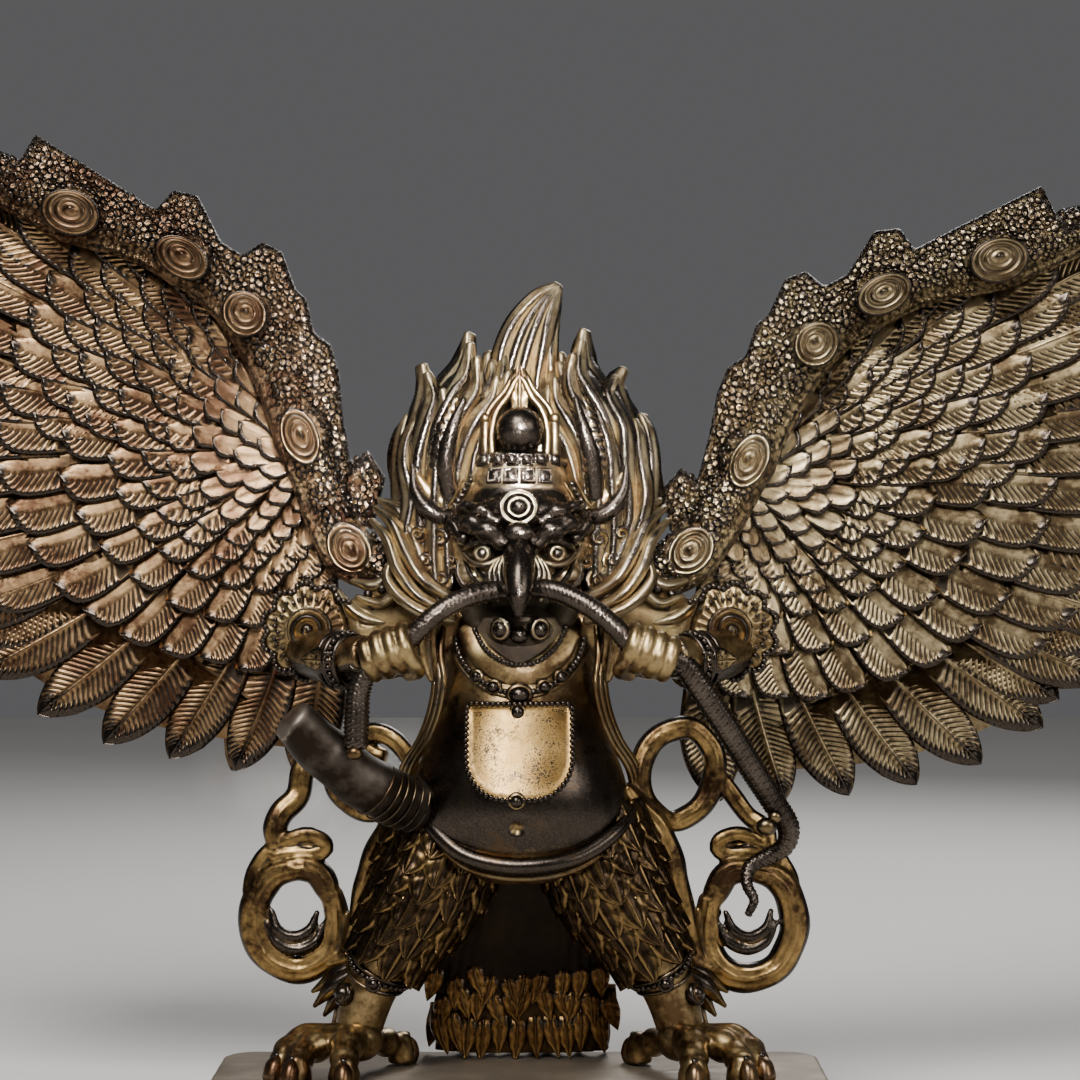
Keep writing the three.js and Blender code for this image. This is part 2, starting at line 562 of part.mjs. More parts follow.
const CREST_EDGE = [
  // outer edge of the thin crest along the bar, a row of blunt fins, from the root to the wing's tip
  [18.2, 73.6], [21, 76.8], [22.4, 72.9], [24.5, 80.8], [25.5, 86.2], [26.9, 89.7], [29.3, 91.2],
  [30.6, 95.3], [32.2, 96.5], [34.4, 101.2], [37.1, 102.2], [39.5, 100.2], [42.5, 101.8], [46, 107.4],
  [49.3, 107.8], [51.2, 105], [57.2, 108.1], [67.8, 113.3], [70.3, 107.2], [74.6, 109.2], [80.8, 115.6],
  [82.6, 110],
];
const CREST_FRONT = 5.4;
const CREST_BACK = 8.8;
const CREST_START = 2;            // the point of the bar at which the crest begins
const WING_STEPS = 28;
const FEATHER_ROWS = [
  // reach of the row's tips as a share of the fan, feathers in the row, depth of the notches between tips,
  // and how far the row's roots stand in front of the wing's back
  { reach: 0.27, feathers: 7, notch: 0.1, stand: 2.2 },
  { reach: 0.5, feathers: 14, notch: 0.09, stand: 1.7 },
  { reach: 0.74, feathers: 14, notch: 0.08, stand: 1.2 },
  { reach: 1, feathers: 14, notch: 0.15, stand: 0.7 },
];
const RIGHT_WING_RISE = 2.5;     // how much higher than by its lift alone the right wing stands
const RISE_REACH = 12;           // the distance from the root within which it rises
const FEATHER_RISE = 0.7;
const FEATHER_RIDGE = 0.4;
const NOTCH_FADE = 0.45;          // how much shallower the notches are at the top than at the bottom
const WING_INNER = 0.01;
const WING_UNDER_BAR = 0.8;     // degrees that the feathers run on under the bar's centre line

function fanReach(angle) {
  return FAN_REACH - FAN_SHORTENING * smooth((FAN_FULL - angle) / FAN_FALL);
}

// The bar's angle about the fan's centre, at a distance from it
function barAngle(distance) {
  const beyond = BAR_LINE.slice(4).map(([x, , z]) => {
    const across = x - FAN_CENTRE[0];
    const rise = z - FAN_CENTRE[1];
    return [Math.hypot(across, rise), THREE.MathUtils.radToDeg(Math.atan2(rise, across))];
  });
  for (let i = 1; i < beyond.length; i += 1) {
    if (distance <= beyond[i][0]) {
      const t = (distance - beyond[i - 1][0]) / (beyond[i][0] - beyond[i - 1][0]);
      return lerp(beyond[i - 1][1], beyond[i][1], Math.max(0, t));
    }
  }
  return beyond[beyond.length - 1][1];
}

function fanPoint(angle, distance, forward = 0) {
  const turn = THREE.MathUtils.degToRad(angle);
  return [
    FAN_CENTRE[0] + distance * Math.cos(turn),
    FAN_DEPTH - FAN_SWEEP * (distance / FAN_REACH) ** 2 - forward,
    FAN_CENTRE[1] + distance * Math.sin(turn),
  ];
}

// Places a wing point on one side of the body, with that wing's lift
function onWing(point, side, lift) {
  const turn = THREE.MathUtils.degToRad(lift);
  const across = point[0] - WING_ROOT[0];
  const rise = point[2] - WING_ROOT[1];
  const raised = side < 0 ? RIGHT_WING_RISE * smooth(Math.hypot(across, rise) / RISE_REACH) : 0;
  return [
    side * (WING_ROOT[0] + across * Math.cos(turn) - rise * Math.sin(turn)),
    point[1],
    WING_ROOT[1] + across * Math.sin(turn) + rise * Math.cos(turn) + raised,
  ];
}

// The rings of the feathered wing, from its inner edge over each row's tips to the back. Each ring gives
// the share of the fan's reach, the depth of its notches, its number of feathers and how far it stands out.
function wingRings() {
  const rings = [{ reach: WING_INNER, notch: 0, feathers: 1, stand: FEATHER_ROWS[0].stand, ridge: 0 }];
  FEATHER_ROWS.forEach(({ reach, feathers, notch, stand }, row) => {
    rings.push({ reach, feathers, notch, stand: stand + FEATHER_RISE, ridge: FEATHER_RIDGE });
    const below = FEATHER_ROWS[row + 1];
    rings.push({ reach, feathers, notch, stand: below ? below.stand : 0, ridge: 0 });
  });
  rings.push({ reach: WING_INNER, notch: 0, feathers: 1, stand: 0, ridge: 0 });
  return rings;
}

// Rows of overlapping feathers as one closed shell: each row steps down to the next at its rounded tips
function wingShell(place) {
  const positions = [];
  const triangles = [];
  const rings = wingRings();
  const across = WING_STEPS + 1;
  for (const { reach, notch, feathers, stand, ridge } of rings) {
    const top = barAngle(reach * FAN_REACH * (1 - notch)) + WING_UNDER_BAR;
    for (let step = 0; step < across; step += 1) {
      const share = step / WING_STEPS;
      const angle = lerp(FAN_LOW, top, share * (1 + FAN_SPREAD * (1 - share)));
      const between = Math.abs(2 * ((share * feathers) % 1) - 1);
      const inward = notch * (1 - NOTCH_FADE * share) * between ** 2.2;
      const distance = fanReach(angle) * reach * (1 - inward);
      positions.push(...at(place(fanPoint(angle, distance, stand + ridge * (1 - between)))).toArray());
    }
  }
  for (let ring = 0; ring < rings.length; ring += 1) {
    const next = (ring + 1) % rings.length;
    for (let step = 0; step < WING_STEPS; step += 1) {
      const [a, b] = [ring * across + step, ring * across + step + 1];
      const [c, d] = [next * across + step + 1, next * across + step];
      triangles.push(a, b, c, a, c, d);
    }
  }
  const profile = rings.map(({ reach, notch, stand }) => (
    new THREE.Vector2(reach * FAN_REACH * (1 - notch), stand)
  ));
  const clockwise = THREE.ShapeUtils.isClockWise(profile);
  for (const face of THREE.ShapeUtils.triangulateShape(profile, [])) {
    const turned = THREE.ShapeUtils.isClockWise(face.map((ring) => profile[ring]));
    const [a, b, c] = turned === clockwise ? face : [face[0], face[2], face[1]];
    triangles.push(a * across, b * across, c * across);
    triangles.push(a * across + WING_STEPS, c * across + WING_STEPS, b * across + WING_STEPS);
  }
  return geometryOf(positions, triangles);
}

function flipped(geometry) {
  const order = geometry.index.array;
  for (let i = 0; i < order.length; i += 3) [order[i], order[i + 1]] = [order[i + 1], order[i]];
  return geometry;
}

function tonguePath(place) {
  const [x, y, z] = BAR_LINE[0];
  const inward = TONGUE_INSERT / SHARE;
  return [place([x + 3, y - 0.2, z + 1.6]), place([x - inward, y - 2.4, z - 1.4])];
}

function tongue(place, grow = 0) {
  return limb(tonguePath(place), (TONGUE_WIDTH / 2 / SHARE) * Math.SQRT2, {
    depths: (TONGUE_THICKNESS / 2 / SHARE) * Math.SQRT2,
    sides: 4,
    phase: Math.PI / 4,
    steps: 1,
    startPoint: 0.1,
    endPoint: 0.1,
    grow: grow * Math.SQRT2,
  });
}

function crest(place) {
  const inner = BAR_LINE.slice(CREST_START).reverse().map(([x, , z]) => [x, z]);
  const outline = [...CREST_EDGE, ...inner].map(([x, z]) => place([x, 0, z]));
  return frontPlate(outline.map(([x, , z]) => [x, z]), CREST_FRONT, CREST_BACK);
}

function wing(side, lift) {
  const place = (point) => onWing(point, side, lift);
  const shell = wingShell(place);
  const pieces = [solidOf(side > 0 ? flipped(shell) : shell)];
  pieces.push(limb(BAR_LINE.map(place), BAR_WIDTHS, { sides: 5, steps: 13 }));
  for (const [x, z] of BAR_BOSSES) pieces.push(pearl(place([x, 4.6, z]), [2.4, 2, 2.4]));
  pieces.push(crest(place));
  return joined(pieces).subtract(coreMasses(GAP_SHARE)).add(tongue(place));
}

function body() {
  const ground = PLINTH_HEIGHT + FIT_GAP;
  const reach = 2 * FIGURE_HEIGHT;
  let whole = joined([coreMasses(), flames(), head(), dress(), scarves(), tail()]);
  for (const side of SIDES) whole = whole.add(arm(side)).add(leg(side));
  whole = whole.add(limb(STUB_LINE, STUB_RADII, { sides: 8, steps: 5 }));
  whole = whole.subtract(snake(GAP_SHARE));
  for (const [side, lift] of WINGS) {
    whole = whole.subtract(tongue((point) => onWing(point, side, lift), GAP_SHARE));
  }
  return whole.intersect(boxBetween([-reach, -reach, ground], [reach, reach, reach]));
}

// The plinth: a slab with rounded corners, a set-back band and a foot

const PLINTH_CORNER_CUTS = 2;

function plinthOutline(inset) {
  const halfLength = PLINTH_LENGTH / 2 - inset;
  const halfDepth = PLINTH_DEPTH / 2 - inset;
  const corner = PLINTH_CORNER - inset;
  const outline = [];
  const corners = [[1, -1, -90], [1, 1, 0], [-1, 1, 90], [-1, -1, 180]];
  for (const [right, rear, start] of corners) {
    for (let step = 0; step <= PLINTH_CORNER_CUTS; step += 1) {
      const angle = THREE.MathUtils.degToRad(start + (90 * step) / PLINTH_CORNER_CUTS);
      outline.push([
        right * (halfLength - corner) + corner * Math.cos(angle),
        rear * (halfDepth - corner) + corner * Math.sin(angle),
      ]);
    }
  }
  return outline;
}

function plinth() {
  const levels = [
    [0, 0], [PLINTH_SLAB - 1, 0], [PLINTH_SLAB, PLINTH_WAIST], [PLINTH_HEIGHT - PLINTH_SLAB, PLINTH_WAIST],
    [PLINTH_HEIGHT - PLINTH_SLAB + 1, 0], [PLINTH_HEIGHT - PLINTH_EDGE, 0], [PLINTH_HEIGHT, PLINTH_EDGE],
  ];
  const positions = [];
  const triangles = [];
  const count = plinthOutline(0).length;
  for (const [height, inset] of levels) {
    for (const [x, y] of plinthOutline(inset)) positions.push(x, y, height);
  }
  for (let level = 0; level < levels.length - 1; level += 1) {
    for (let i = 0; i < count; i += 1) {
      const next = (i + 1) % count;
      const low = level * count;
      triangles.push(low + i, low + next, low + count + next, low + i, low + count + next, low + count + i);
    }
  }
  const last = (levels.length - 1) * count;
  for (let i = 1; i < count - 1; i += 1) {
    triangles.push(0, i + 1, i);
    triangles.push(last, last + i, last + i + 1);
  }
  return solidOf(geometryOf(positions, triangles));
}

const WINGS = [[-1, RIGHT_WING_LIFT], [1, LEFT_WING_LIFT]];

// Colours, roughness and metalness as the photograph shows them
const GILT_BRONZE = { color: 0x8a6a3a, roughness: 0.42, metalness: 0.9 };
const RED_GILT = { color: 0x7d5433, roughness: 0.45, metalness: 0.9 };
const OLIVE_GILT = { color: 0x84683a, roughness: 0.43, metalness: 0.9 };
const DARK_STEEL = { color: 0x2c2a29, roughness: 0.35, metalness: 0.95 };
const GREY_BRONZE = { color: 0x5a5148, roughness: 0.55, metalness: 0.85 };

const SLIVER = 0.1;               // steps finer than this, left where forms meet, are smoothed away

function meshOf(name, solid, finish) {
  const { vertProperties, triVerts, numProp } = solid.simplify(SLIVER).getMesh();
  const positions = [];
  for (let i = 0; i < vertProperties.length; i += numProp) positions.push(...vertProperties.slice(i, i + 3));
  const geometry = geometryOf(positions, Array.from(triVerts));
  geometry.computeVertexNormals();
  const mesh = new THREE.Mesh(geometry, new THREE.MeshStandardMaterial(finish));
  mesh.name = name;
  return mesh;
}

const group = new THREE.Group();
group.add(meshOf('plinth', plinth(), GREY_BRONZE));
group.add(meshOf('garuda_body', body(), GILT_BRONZE));
group.add(meshOf('right_wing', wing(-1, RIGHT_WING_LIFT), RED_GILT));
group.add(meshOf('left_wing', wing(1, LEFT_WING_LIFT), OLIVE_GILT));
group.add(meshOf('snake', snake(), DARK_STEEL));

export default group;
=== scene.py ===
import math

import bpy
import numpy as np
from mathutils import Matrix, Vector


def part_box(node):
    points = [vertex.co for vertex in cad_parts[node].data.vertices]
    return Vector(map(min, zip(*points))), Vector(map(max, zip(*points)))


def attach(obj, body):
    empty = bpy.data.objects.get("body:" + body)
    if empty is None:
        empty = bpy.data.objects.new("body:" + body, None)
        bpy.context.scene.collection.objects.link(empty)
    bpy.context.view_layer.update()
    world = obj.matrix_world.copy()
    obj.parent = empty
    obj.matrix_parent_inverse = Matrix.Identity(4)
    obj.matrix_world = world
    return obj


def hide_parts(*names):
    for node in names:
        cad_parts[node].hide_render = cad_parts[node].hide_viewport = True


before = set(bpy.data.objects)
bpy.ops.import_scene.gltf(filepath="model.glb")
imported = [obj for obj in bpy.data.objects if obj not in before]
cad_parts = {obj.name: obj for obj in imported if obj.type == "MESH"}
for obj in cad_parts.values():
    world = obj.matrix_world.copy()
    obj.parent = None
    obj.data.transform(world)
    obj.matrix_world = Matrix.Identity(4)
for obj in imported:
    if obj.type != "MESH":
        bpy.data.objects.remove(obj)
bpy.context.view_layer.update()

# Driving dimensions, in metres, and the tail's reach behind the centre line in shares

FIGURE_HEIGHT = 0.36
PLINTH_BACK_MARGIN = 0.004
SHARE = FIGURE_HEIGHT / 100
TAIL_BACK = 11.2
PLINTH_LOW, PLINTH_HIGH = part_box("plinth")
GROUND = np.array([0.0, PLINTH_HIGH.y - PLINTH_BACK_MARGIN - TAIL_BACK * SHARE, PLINTH_HIGH.z])

FRONT = np.array([0.0, -1.0, 0.0])
UP = np.array([0.0, 0.0, 1.0])
ACROSS = np.array([1.0, 0.0, 0.0])
SIDES = (-1, 1)
chance = np.random.default_rng(7)


# Forms

SHRINK, SWELL = 0.6, 0.62
CREST_REACH = 2         # rounds of averaging that a crest is set against
SPAN_STEPS = 16         # steps that a curve takes from one of its points to the next
ROUND_TIP = (0.35, 0.7, 0.93)       # where the rings of a rounded tip stand, in parts of its length


class Form:
    """Closed surfaces in shares: points, faces of four and three corners, and each point's wear, whose low
    values bring grime and painted shade
    """

    def __init__(self, points, quads=(), tris=(), rubbed_and_shaded=0.0):
        self.points = np.asarray(points, float)
        self.quads = np.asarray(quads, int).reshape(-1, 4)
        self.tris = np.asarray(tris, int).reshape(-1, 3)
        self.rubbed_and_shaded = np.broadcast_to(rubbed_and_shaded, len(self.points)).astype(float)

    def volume(self):
        halves = [self.tris, self.quads[:, :3], self.quads[:, [0, 2, 3]]]
        a, b, c = (self.points[np.concatenate(halves)[:, corner]] for corner in range(3))
        return np.einsum("ij,ij->", a, np.cross(b, c)) / 6

    def facing_out(self):
        if self.volume() < 0:
            self.quads, self.tris = self.quads[:, ::-1], self.tris[:, ::-1]
        return self

    def put(self, change):
        return Form(change(self.points), self.quads, self.tris, self.rubbed_and_shaded).facing_out()

    def on(self, side):
        return self if side > 0 else self.put(lambda points: points * (-1, 1, 1))

    def edges(self):
        rings = [(faces[:, corner], np.roll(faces, -1, 1)[:, corner])
                 for faces in (self.quads, self.tris) for corner in range(faces.shape[1])]
        pairs = np.sort(np.concatenate([np.stack(ring, 1) for ring in rings]), 1)
        keys = np.unique(pairs[:, 0] * len(self.points) + pairs[:, 1])
        return np.stack([keys // len(self.points), keys % len(self.points)], 1)

    def normals(self):
        total = np.zeros_like(self.points)
        for faces in (self.quads, self.tris):
            if len(faces):
                corner = [self.points[faces[:, i]] for i in (0, 2, 1, faces.shape[1] - 1)]
                across = np.cross(corner[1] - corner[0], corner[3] - corner[2])
                for i in range(faces.shape[1]):
                    for axis in range(3):
                        total[:, axis] += np.bincount(faces[:, i], across[:, axis], len(self.points))
        return total / np.maximum(np.linalg.norm(total, axis=1), 1e-12)[:, None]

    def spread(self, values, edges, rounds):
        """Values at the points, averaged with their neighbours"""
        count = np.bincount(edges.ravel(), minlength=len(self.points))
        for _ in range(rounds):
            total = np.bincount(edges[:, 0], values[edges[:, 1]], len(values))
            total += np.bincount(edges[:, 1], values[edges[:, 0]], len(values))
            values = (values + total) / (count + 1)
        return values

    def softened(self, edges, rounds):
        """The points, averaged with their neighbours"""
        return np.stack([self.spread(self.points[:, axis], edges, rounds) for axis in range(3)], 1)

    def smoothed(self, rounds):
        """The form with its steps smoothed away, shrunk and swelled by turns so that it keeps its size"""
        edges = self.edges()
        for _ in range(rounds):
            for weight in (SHRINK, -SWELL):
                self.points = self.points + weight * (self.softened(edges, 1) - self.points)
        return self

    def crests(self):
        """How far each point stands above the points round it, in parts of an edge"""
        edges = self.edges()
        length = np.linalg.norm(self.points[edges[:, 0]] - self.points[edges[:, 1]], axis=1).mean()
        away = self.points - self.softened(edges, CREST_REACH)
        return self.spread(np.einsum("ij,ij->i", away, self.normals()) / length, edges, 1)


def both(forms):
    """Each form at the figure's right and at its left"""
    return [form.on(side) for form in forms for side in SIDES]


def joined(forms):
    forms = list(forms)
    starts = np.cumsum([0] + [len(form.points) for form in forms])
    quads, tris = ([getattr(form, kind) + start for form, start in zip(forms, starts)]
                   for kind in ("quads", "tris"))
    return Form(np.concatenate([form.points for form in forms]), np.concatenate(quads),
                np.concatenate(tris), np.concatenate([form.rubbed_and_shaded for form in forms]))


def lofted(rings, rubbed_and_shaded=0.0, closes=True):
    """A form through rings of points, closed at both ends to their middles, or back on itself"""
    rings = np.asarray(rings, float)
    rows, sides, _ = rings.shape
    index = np.arange(rows * sides).reshape(rows, sides)
    here, there = (index[:-1], index[1:]) if closes else (index, np.roll(index, -1, 0))
    quads = np.stack([here, np.roll(here, -1, 1), np.roll(there, -1, 1), there], -1).reshape(-1, 4)
    points, tris = rings.reshape(-1, 3), []
    wear_and_shade = np.broadcast_to(rubbed_and_shaded, (rows, sides)).reshape(-1).astype(float)
    if closes:
        first, last = len(points), len(points) + 1
        points = np.vstack([points, rings[0].mean(0), rings[-1].mean(0)])
        wear_and_shade = np.append(wear_and_shade, [wear_and_shade[:sides].mean(), wear_and_shade[-sides - 2:].mean()])
        for i in range(sides):
            j = (i + 1) % sides
            tris += [(first, index[0, j], index[0, i]), (last, index[-1, i], index[-1, j])]
    return Form(points, quads, tris, wear_and_shade).facing_out()


def smooth(share):
    """A share from 0 to 1 that starts and ends softly"""
    share = np.clip(share, 0, 1)
    return share * share * (3 - 2 * share)


def domed(share, power=2):
    """Height of a dome at shares of the way from its middle to its edge"""
    return np.sqrt(np.clip(1 - share ** power, 0, 1))


def hump(value, middle, width):
    """A soft swelling of height 1 about a middle"""
    return np.exp(-((value - middle) / width) ** 2)


def angles(count):
    """Even turns of a whole round"""
    return np.linspace(0, 2 * np.pi, count, endpoint=False)


def wheel(turn, side, up):
    """Directions at turns from one direction towards another"""
    return np.cos(turn)[..., None] * side + np.sin(turn)[..., None] * up


def stations(values, places):
    """Values given at even stations, read at places from 0 to 1"""
    values = np.atleast_1d(np.asarray(values, float))
    return np.interp(places, np.linspace(0, 1, len(values)), values)


def read_off(at, run, points):
    """Points read off a line at distances along it, where run is the distance of each of its points"""
    return np.stack([np.interp(at, run, points[:, axis]) for axis in range(points.shape[1])], -1)


def run_of(points):
    """The distance of each point from the first, along the line through them"""
    return np.append(0, np.cumsum(np.linalg.norm(np.diff(points, axis=0), axis=1)))


def route(points, count):
    """A smooth curve through points: even places along it, its directions, its places from 0 to 1, and the
    distance of each along it"""
    points = np.asarray(points, float)
    padded = np.vstack([2 * points[0] - points[1], points, 2 * points[-1] - points[-2]])
    steps = np.linspace(0, 1, SPAN_STEPS + 1)[:, None]
    dense, place = [], []
    spans = len(padded) - 3
    for i in range(spans):
        p0, p1, p2, p3 = padded[i:i + 4]
        t1 = max(np.linalg.norm(p1 - p0), 1e-6) ** 0.5
        t2 = t1 + max(np.linalg.norm(p2 - p1), 1e-6) ** 0.5
        t3 = t2 + max(np.linalg.norm(p3 - p2), 1e-6) ** 0.5
        t = t1 + (t2 - t1) * steps
        a1 = p0 + (p1 - p0) * t / t1
        a2 = p1 + (p2 - p1) * (t - t1) / (t2 - t1)
        a3 = p2 + (p3 - p2) * (t - t2) / (t3 - t2)
        b1 = a1 + (a2 - a1) * t / t2
        b2 = a2 + (a3 - a2) * (t - t1) / (t3 - t1)
        keep = slice(0, SPAN_STEPS + (i == spans - 1))
        dense.append((b1 + (b2 - b1) * (t - t1) / (t2 - t1))[keep])
        place.append(((i + steps[:, 0]) / spans)[keep])
    dense, place = np.vstack(dense), np.concatenate(place)
    run = run_of(dense)
    even = np.linspace(0, run[-1], count)
    nudge = run[-1] / 400
    ways = unit(read_off(even + nudge, run, dense) - read_off(even - nudge, run, dense))
    return read_off(even, run, dense), ways, np.interp(even, run, place), even


def unit(vectors):
    return vectors / np.maximum(np.linalg.norm(vectors, axis=-1, keepdims=True), 1e-9)


def tube(points, widths, depths=None, facing=FRONT, sides=12, count=24, ends=(0.5, 0.5), square=2.0,
         relief=None, rubbed_and_shaded=0.0):
    """A closed limb along points. Widths run across the facing direction and depths along it, square over 2
    squares its section off, ends are the lengths of its rounded tips, and relief adds height over its run
    and round it."""
    centres, ways, places, run = route(points, count)
    width = stations(widths, places)
    depth = width if depths is None else stations(depths, places)
    facing = np.broadcast_to(facing, centres.shape)
    side = unit(np.cross(facing, ways))
    normal = np.cross(ways, side)
    turn = angles(sides)
    across, forward = np.cos(turn), np.sin(turn)
    if square != 2.0:
        across, forward = (np.sign(part) * np.abs(part) ** (2 / square) for part in (across, forward))
    out = 0.0 if relief is None else relief(run[:, None], turn[None, :])
    out = np.broadcast_to(out, (count, sides))
    body = ((width[:, None] + out)[:, :, None] * across[None, :, None] * side[:, None, :]
            + (depth[:, None] + out)[:, :, None] * forward[None, :, None] * normal[:, None, :])
    start = [centres[0] + body[0] * math.sqrt(1 - t * t) - ways[0] * t * ends[0] for t in ROUND_TIP[::-1]]
    end = [centres[-1] + body[-1] * math.sqrt(1 - t * t) + ways[-1] * t * ends[1] for t in ROUND_TIP]
    wear_and_shade = np.broadcast_to(rubbed_and_shaded, (count, sides))
    wear_and_shade = np.concatenate([wear_and_shade[:1]] * len(start) + [wear_and_shade] + [wear_and_shade[-1:]] * len(end))
    return lofted(np.concatenate([start, centres[:, None, :] + body, end]), wear_and_shade)


def backed(front, back, wear_and_shade, deep):
    """A closed blade: its front, with its wear and painted shade values, and the two plain rows of points
    behind it
    """
    return lofted(np.concatenate([front, back], 1), np.pad(wear_and_shade, ((0, 0), (0, 2)), constant_values=deep))


def axes_about(axis):
    """An axis with the two directions square to it, the last one upright where it can be"""
    axis = unit(np.asarray(axis, float))
    side = unit(np.cross(axis, UP if abs(axis[2]) < 0.9 else ACROSS))
    return axis, side, np.cross(side, axis)


def bead(centre, radii, around=10, rows=6, rubbed_and_shaded=0.0, axis=FRONT):
    """A pearl, boss or pebble: a round form of three radii, its last radius along the axis"""
    radii = np.broadcast_to(radii, 3)
    lean = np.linspace(0, np.pi, rows + 2)[1:-1, None, None]
    axis, side, up = axes_about(axis)
    circle = wheel(angles(around), side * radii[0], up * radii[1])
    return lofted(np.sin(lean) * circle + np.cos(lean) * axis * radii[2] + np.asarray(centre, float), rubbed_and_shaded)


def boss(centre, radius, height, axis=FRONT, around=40, rows=22, turns=2.6, lean=0.0):
    """A round boss of a coiled ridge about a knob, as wax rope wound on a disc"""
    reach, turn = np.linspace(1, 0.03, rows)[:, None], angles(around)
    coil = np.cos(2 * np.pi * turns * reach - turn) * smooth((1 - reach) / 0.12) * smooth((reach - 0.1) / 0.2)
    rise = height * (0.55 * domed(reach, 2.4) + 0.3 * coil + 0.45 * hump(reach, 0, 0.2))
    axis, side, up = axes_about(axis)
    rings = radius * reach[..., None] * wheel(turn + lean, side, up) + rise[..., None] * axis
    skirt = rings[:1] - height * 0.9 * axis
    rub = 0.25 * smooth(rise[[0, *range(rows)]] / height)
    return lofted(np.concatenate([skirt, rings]) + np.asarray(centre, float), rub)


def turned(centre, profile, axis=FRONT, around=24, size=1.0, oval=1.0, rubbed_and_shaded=0.0, phase=0.0):
    """A closed form turned about an axis, from a profile of radii and heights; oval stretches it upright"""
    radii, heights = np.transpose(profile)[..., None, None] * size
    axis, side, up = axes_about(axis)
    rings = radii * wheel(phase + angles(around), side, oval * up) + heights * axis
    return lofted(rings + np.asarray(centre, float), np.broadcast_to(rubbed_and_shaded, len(profile))[:, None])


def set_out(name, data):
    """A new object in the scene"""
    thing = bpy.data.objects.new(name, data)
    bpy.context.scene.collection.objects.link(thing)
    return thing


def finished_mesh(thing):
    """The plain mesh that an object's modifier makes"""
    return bpy.data.meshes.new_from_object(thing.evaluated_get(bpy.context.evaluated_depsgraph_get()))


def clay(forms, voxel, rounds=3):
    """One skin over overlapping forms, blended as wax is"""
    mesh = mesh_of("wax", joined(forms), 1.0, np.zeros(3))
    lump = set_out("wax", mesh)
    remesh = lump.modifiers.new("skin", "REMESH")
    remesh.mode, remesh.voxel_size, remesh.adaptivity = "VOXEL", voxel, 0.0
    skin = finished_mesh(lump)
    form = form_of(skin)
    bpy.data.objects.remove(lump)
    bpy.data.meshes.remove(mesh)
    bpy.data.meshes.remove(skin)
    return form.facing_out().smoothed(rounds)


def mesh_of(name, form, scale, origin):
    """A mesh of a form, whose points are scaled and then moved to an origin"""
    mesh = bpy.data.meshes.new(name)
    quads, tris = form.quads, form.tris
    mesh.vertices.add(len(form.points))
    mesh.vertices.foreach_set("co", (form.points * scale + origin).astype(np.float32).ravel())
    corners = np.concatenate([quads.ravel(), tris.ravel()]).astype(np.int32)
    mesh.loops.add(len(corners))
    mesh.polygons.add(len(quads) + len(tris))
    sizes = np.array([4] * len(quads) + [3] * len(tris))
    mesh.polygons.foreach_set("loop_start", (np.cumsum(sizes) - sizes).astype(np.int32))
    mesh.polygons.foreach_set("vertices", corners)
    mesh.update(calc_edges=True)
    mesh.validate()
    return mesh


def form_of(mesh):
    """A form of a mesh of quads and triangles"""
    points = np.zeros(len(mesh.vertices) * 3, np.float32)
    mesh.vertices.foreach_get("co", points)
    corners = np.zeros(len(mesh.loops), np.int32)
    mesh.loops.foreach_get("vertex_index", corners)
    starts, sizes = (np.zeros(len(mesh.polygons), np.int32) for _ in range(2))
    mesh.polygons.foreach_get("loop_start", starts)
    mesh.polygons.foreach_get("loop_total", sizes)
    faces = [corners[starts[sizes == count][:, None] + np.arange(count)] for count in (4, 3)]
    return Form(points.reshape(-1, 3), *faces)


def mark(mesh, name, values):
    """A named value kept on each point of a mesh"""
    values = np.ascontiguousarray(values, np.float32)
    mesh.attributes.new(name, "FLOAT", "POINT").data.foreach_set("value", values)


NEUTRAL = 0.5       # wear of a point that is neither proud nor deep


def piece(name, forms, finish, node="garuda_body", wear=0.9, keep=1.0):
    """A finished piece of the visual model, in place, with its wear, grime and painted shade worked out from
    its relief and its points' own values, and then thinned to the share of its faces to keep"""
    form = joined(forms) if isinstance(forms, (list, tuple)) else forms
    mesh = mesh_of(name, form, SHARE, GROUND)
    mesh.shade_smooth()
    mark(mesh, "wear_and_shade", np.clip(NEUTRAL + wear * form.crests() + form.rubbed_and_shaded, 0, 1))
    mesh.materials.append(finish)
    thing = set_out(name, mesh)
    if keep < 1:
        thinning = thing.modifiers.new("thinning", "DECIMATE")
        thinning.ratio = keep
        thinned = finished_mesh(thing)
        thing.modifiers.remove(thinning)
        thing.data = thinned
        thinned.name = name
        bpy.data.meshes.remove(mesh)
    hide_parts(node)
    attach(thing, "root")
    return thing


# Finishes

class Wire:
    """A socket in a shader. Sums with it add the Math nodes that work them out."""

    def __init__(self, finish, socket):
        self.finish, self.socket = finish, socket

    def math(self, operation, *values, clip=False):
        settings = {"operation": operation, "use_clamp": clip}
        return self.finish.node("ShaderNodeMath", settings, dict(enumerate(values)))

    def __add__(self, other):
        return self.math("ADD", self, other)

    def __radd__(self, other):
        return self.math("ADD", other, self)

    def __sub__(self, other):
        return self.math("SUBTRACT", self, other)

    def __rsub__(self, other):
        return self.math("SUBTRACT", other, self)

    def __mul__(self, other):
        return self.math("MULTIPLY", self, other)

    def __rmul__(self, other):
        return self.math("MULTIPLY", other, self)

    def clipped(self):
        return self.math("MULTIPLY", self, 1.0, clip=True)

    def wave(self):
        return self.math("SINE", self)


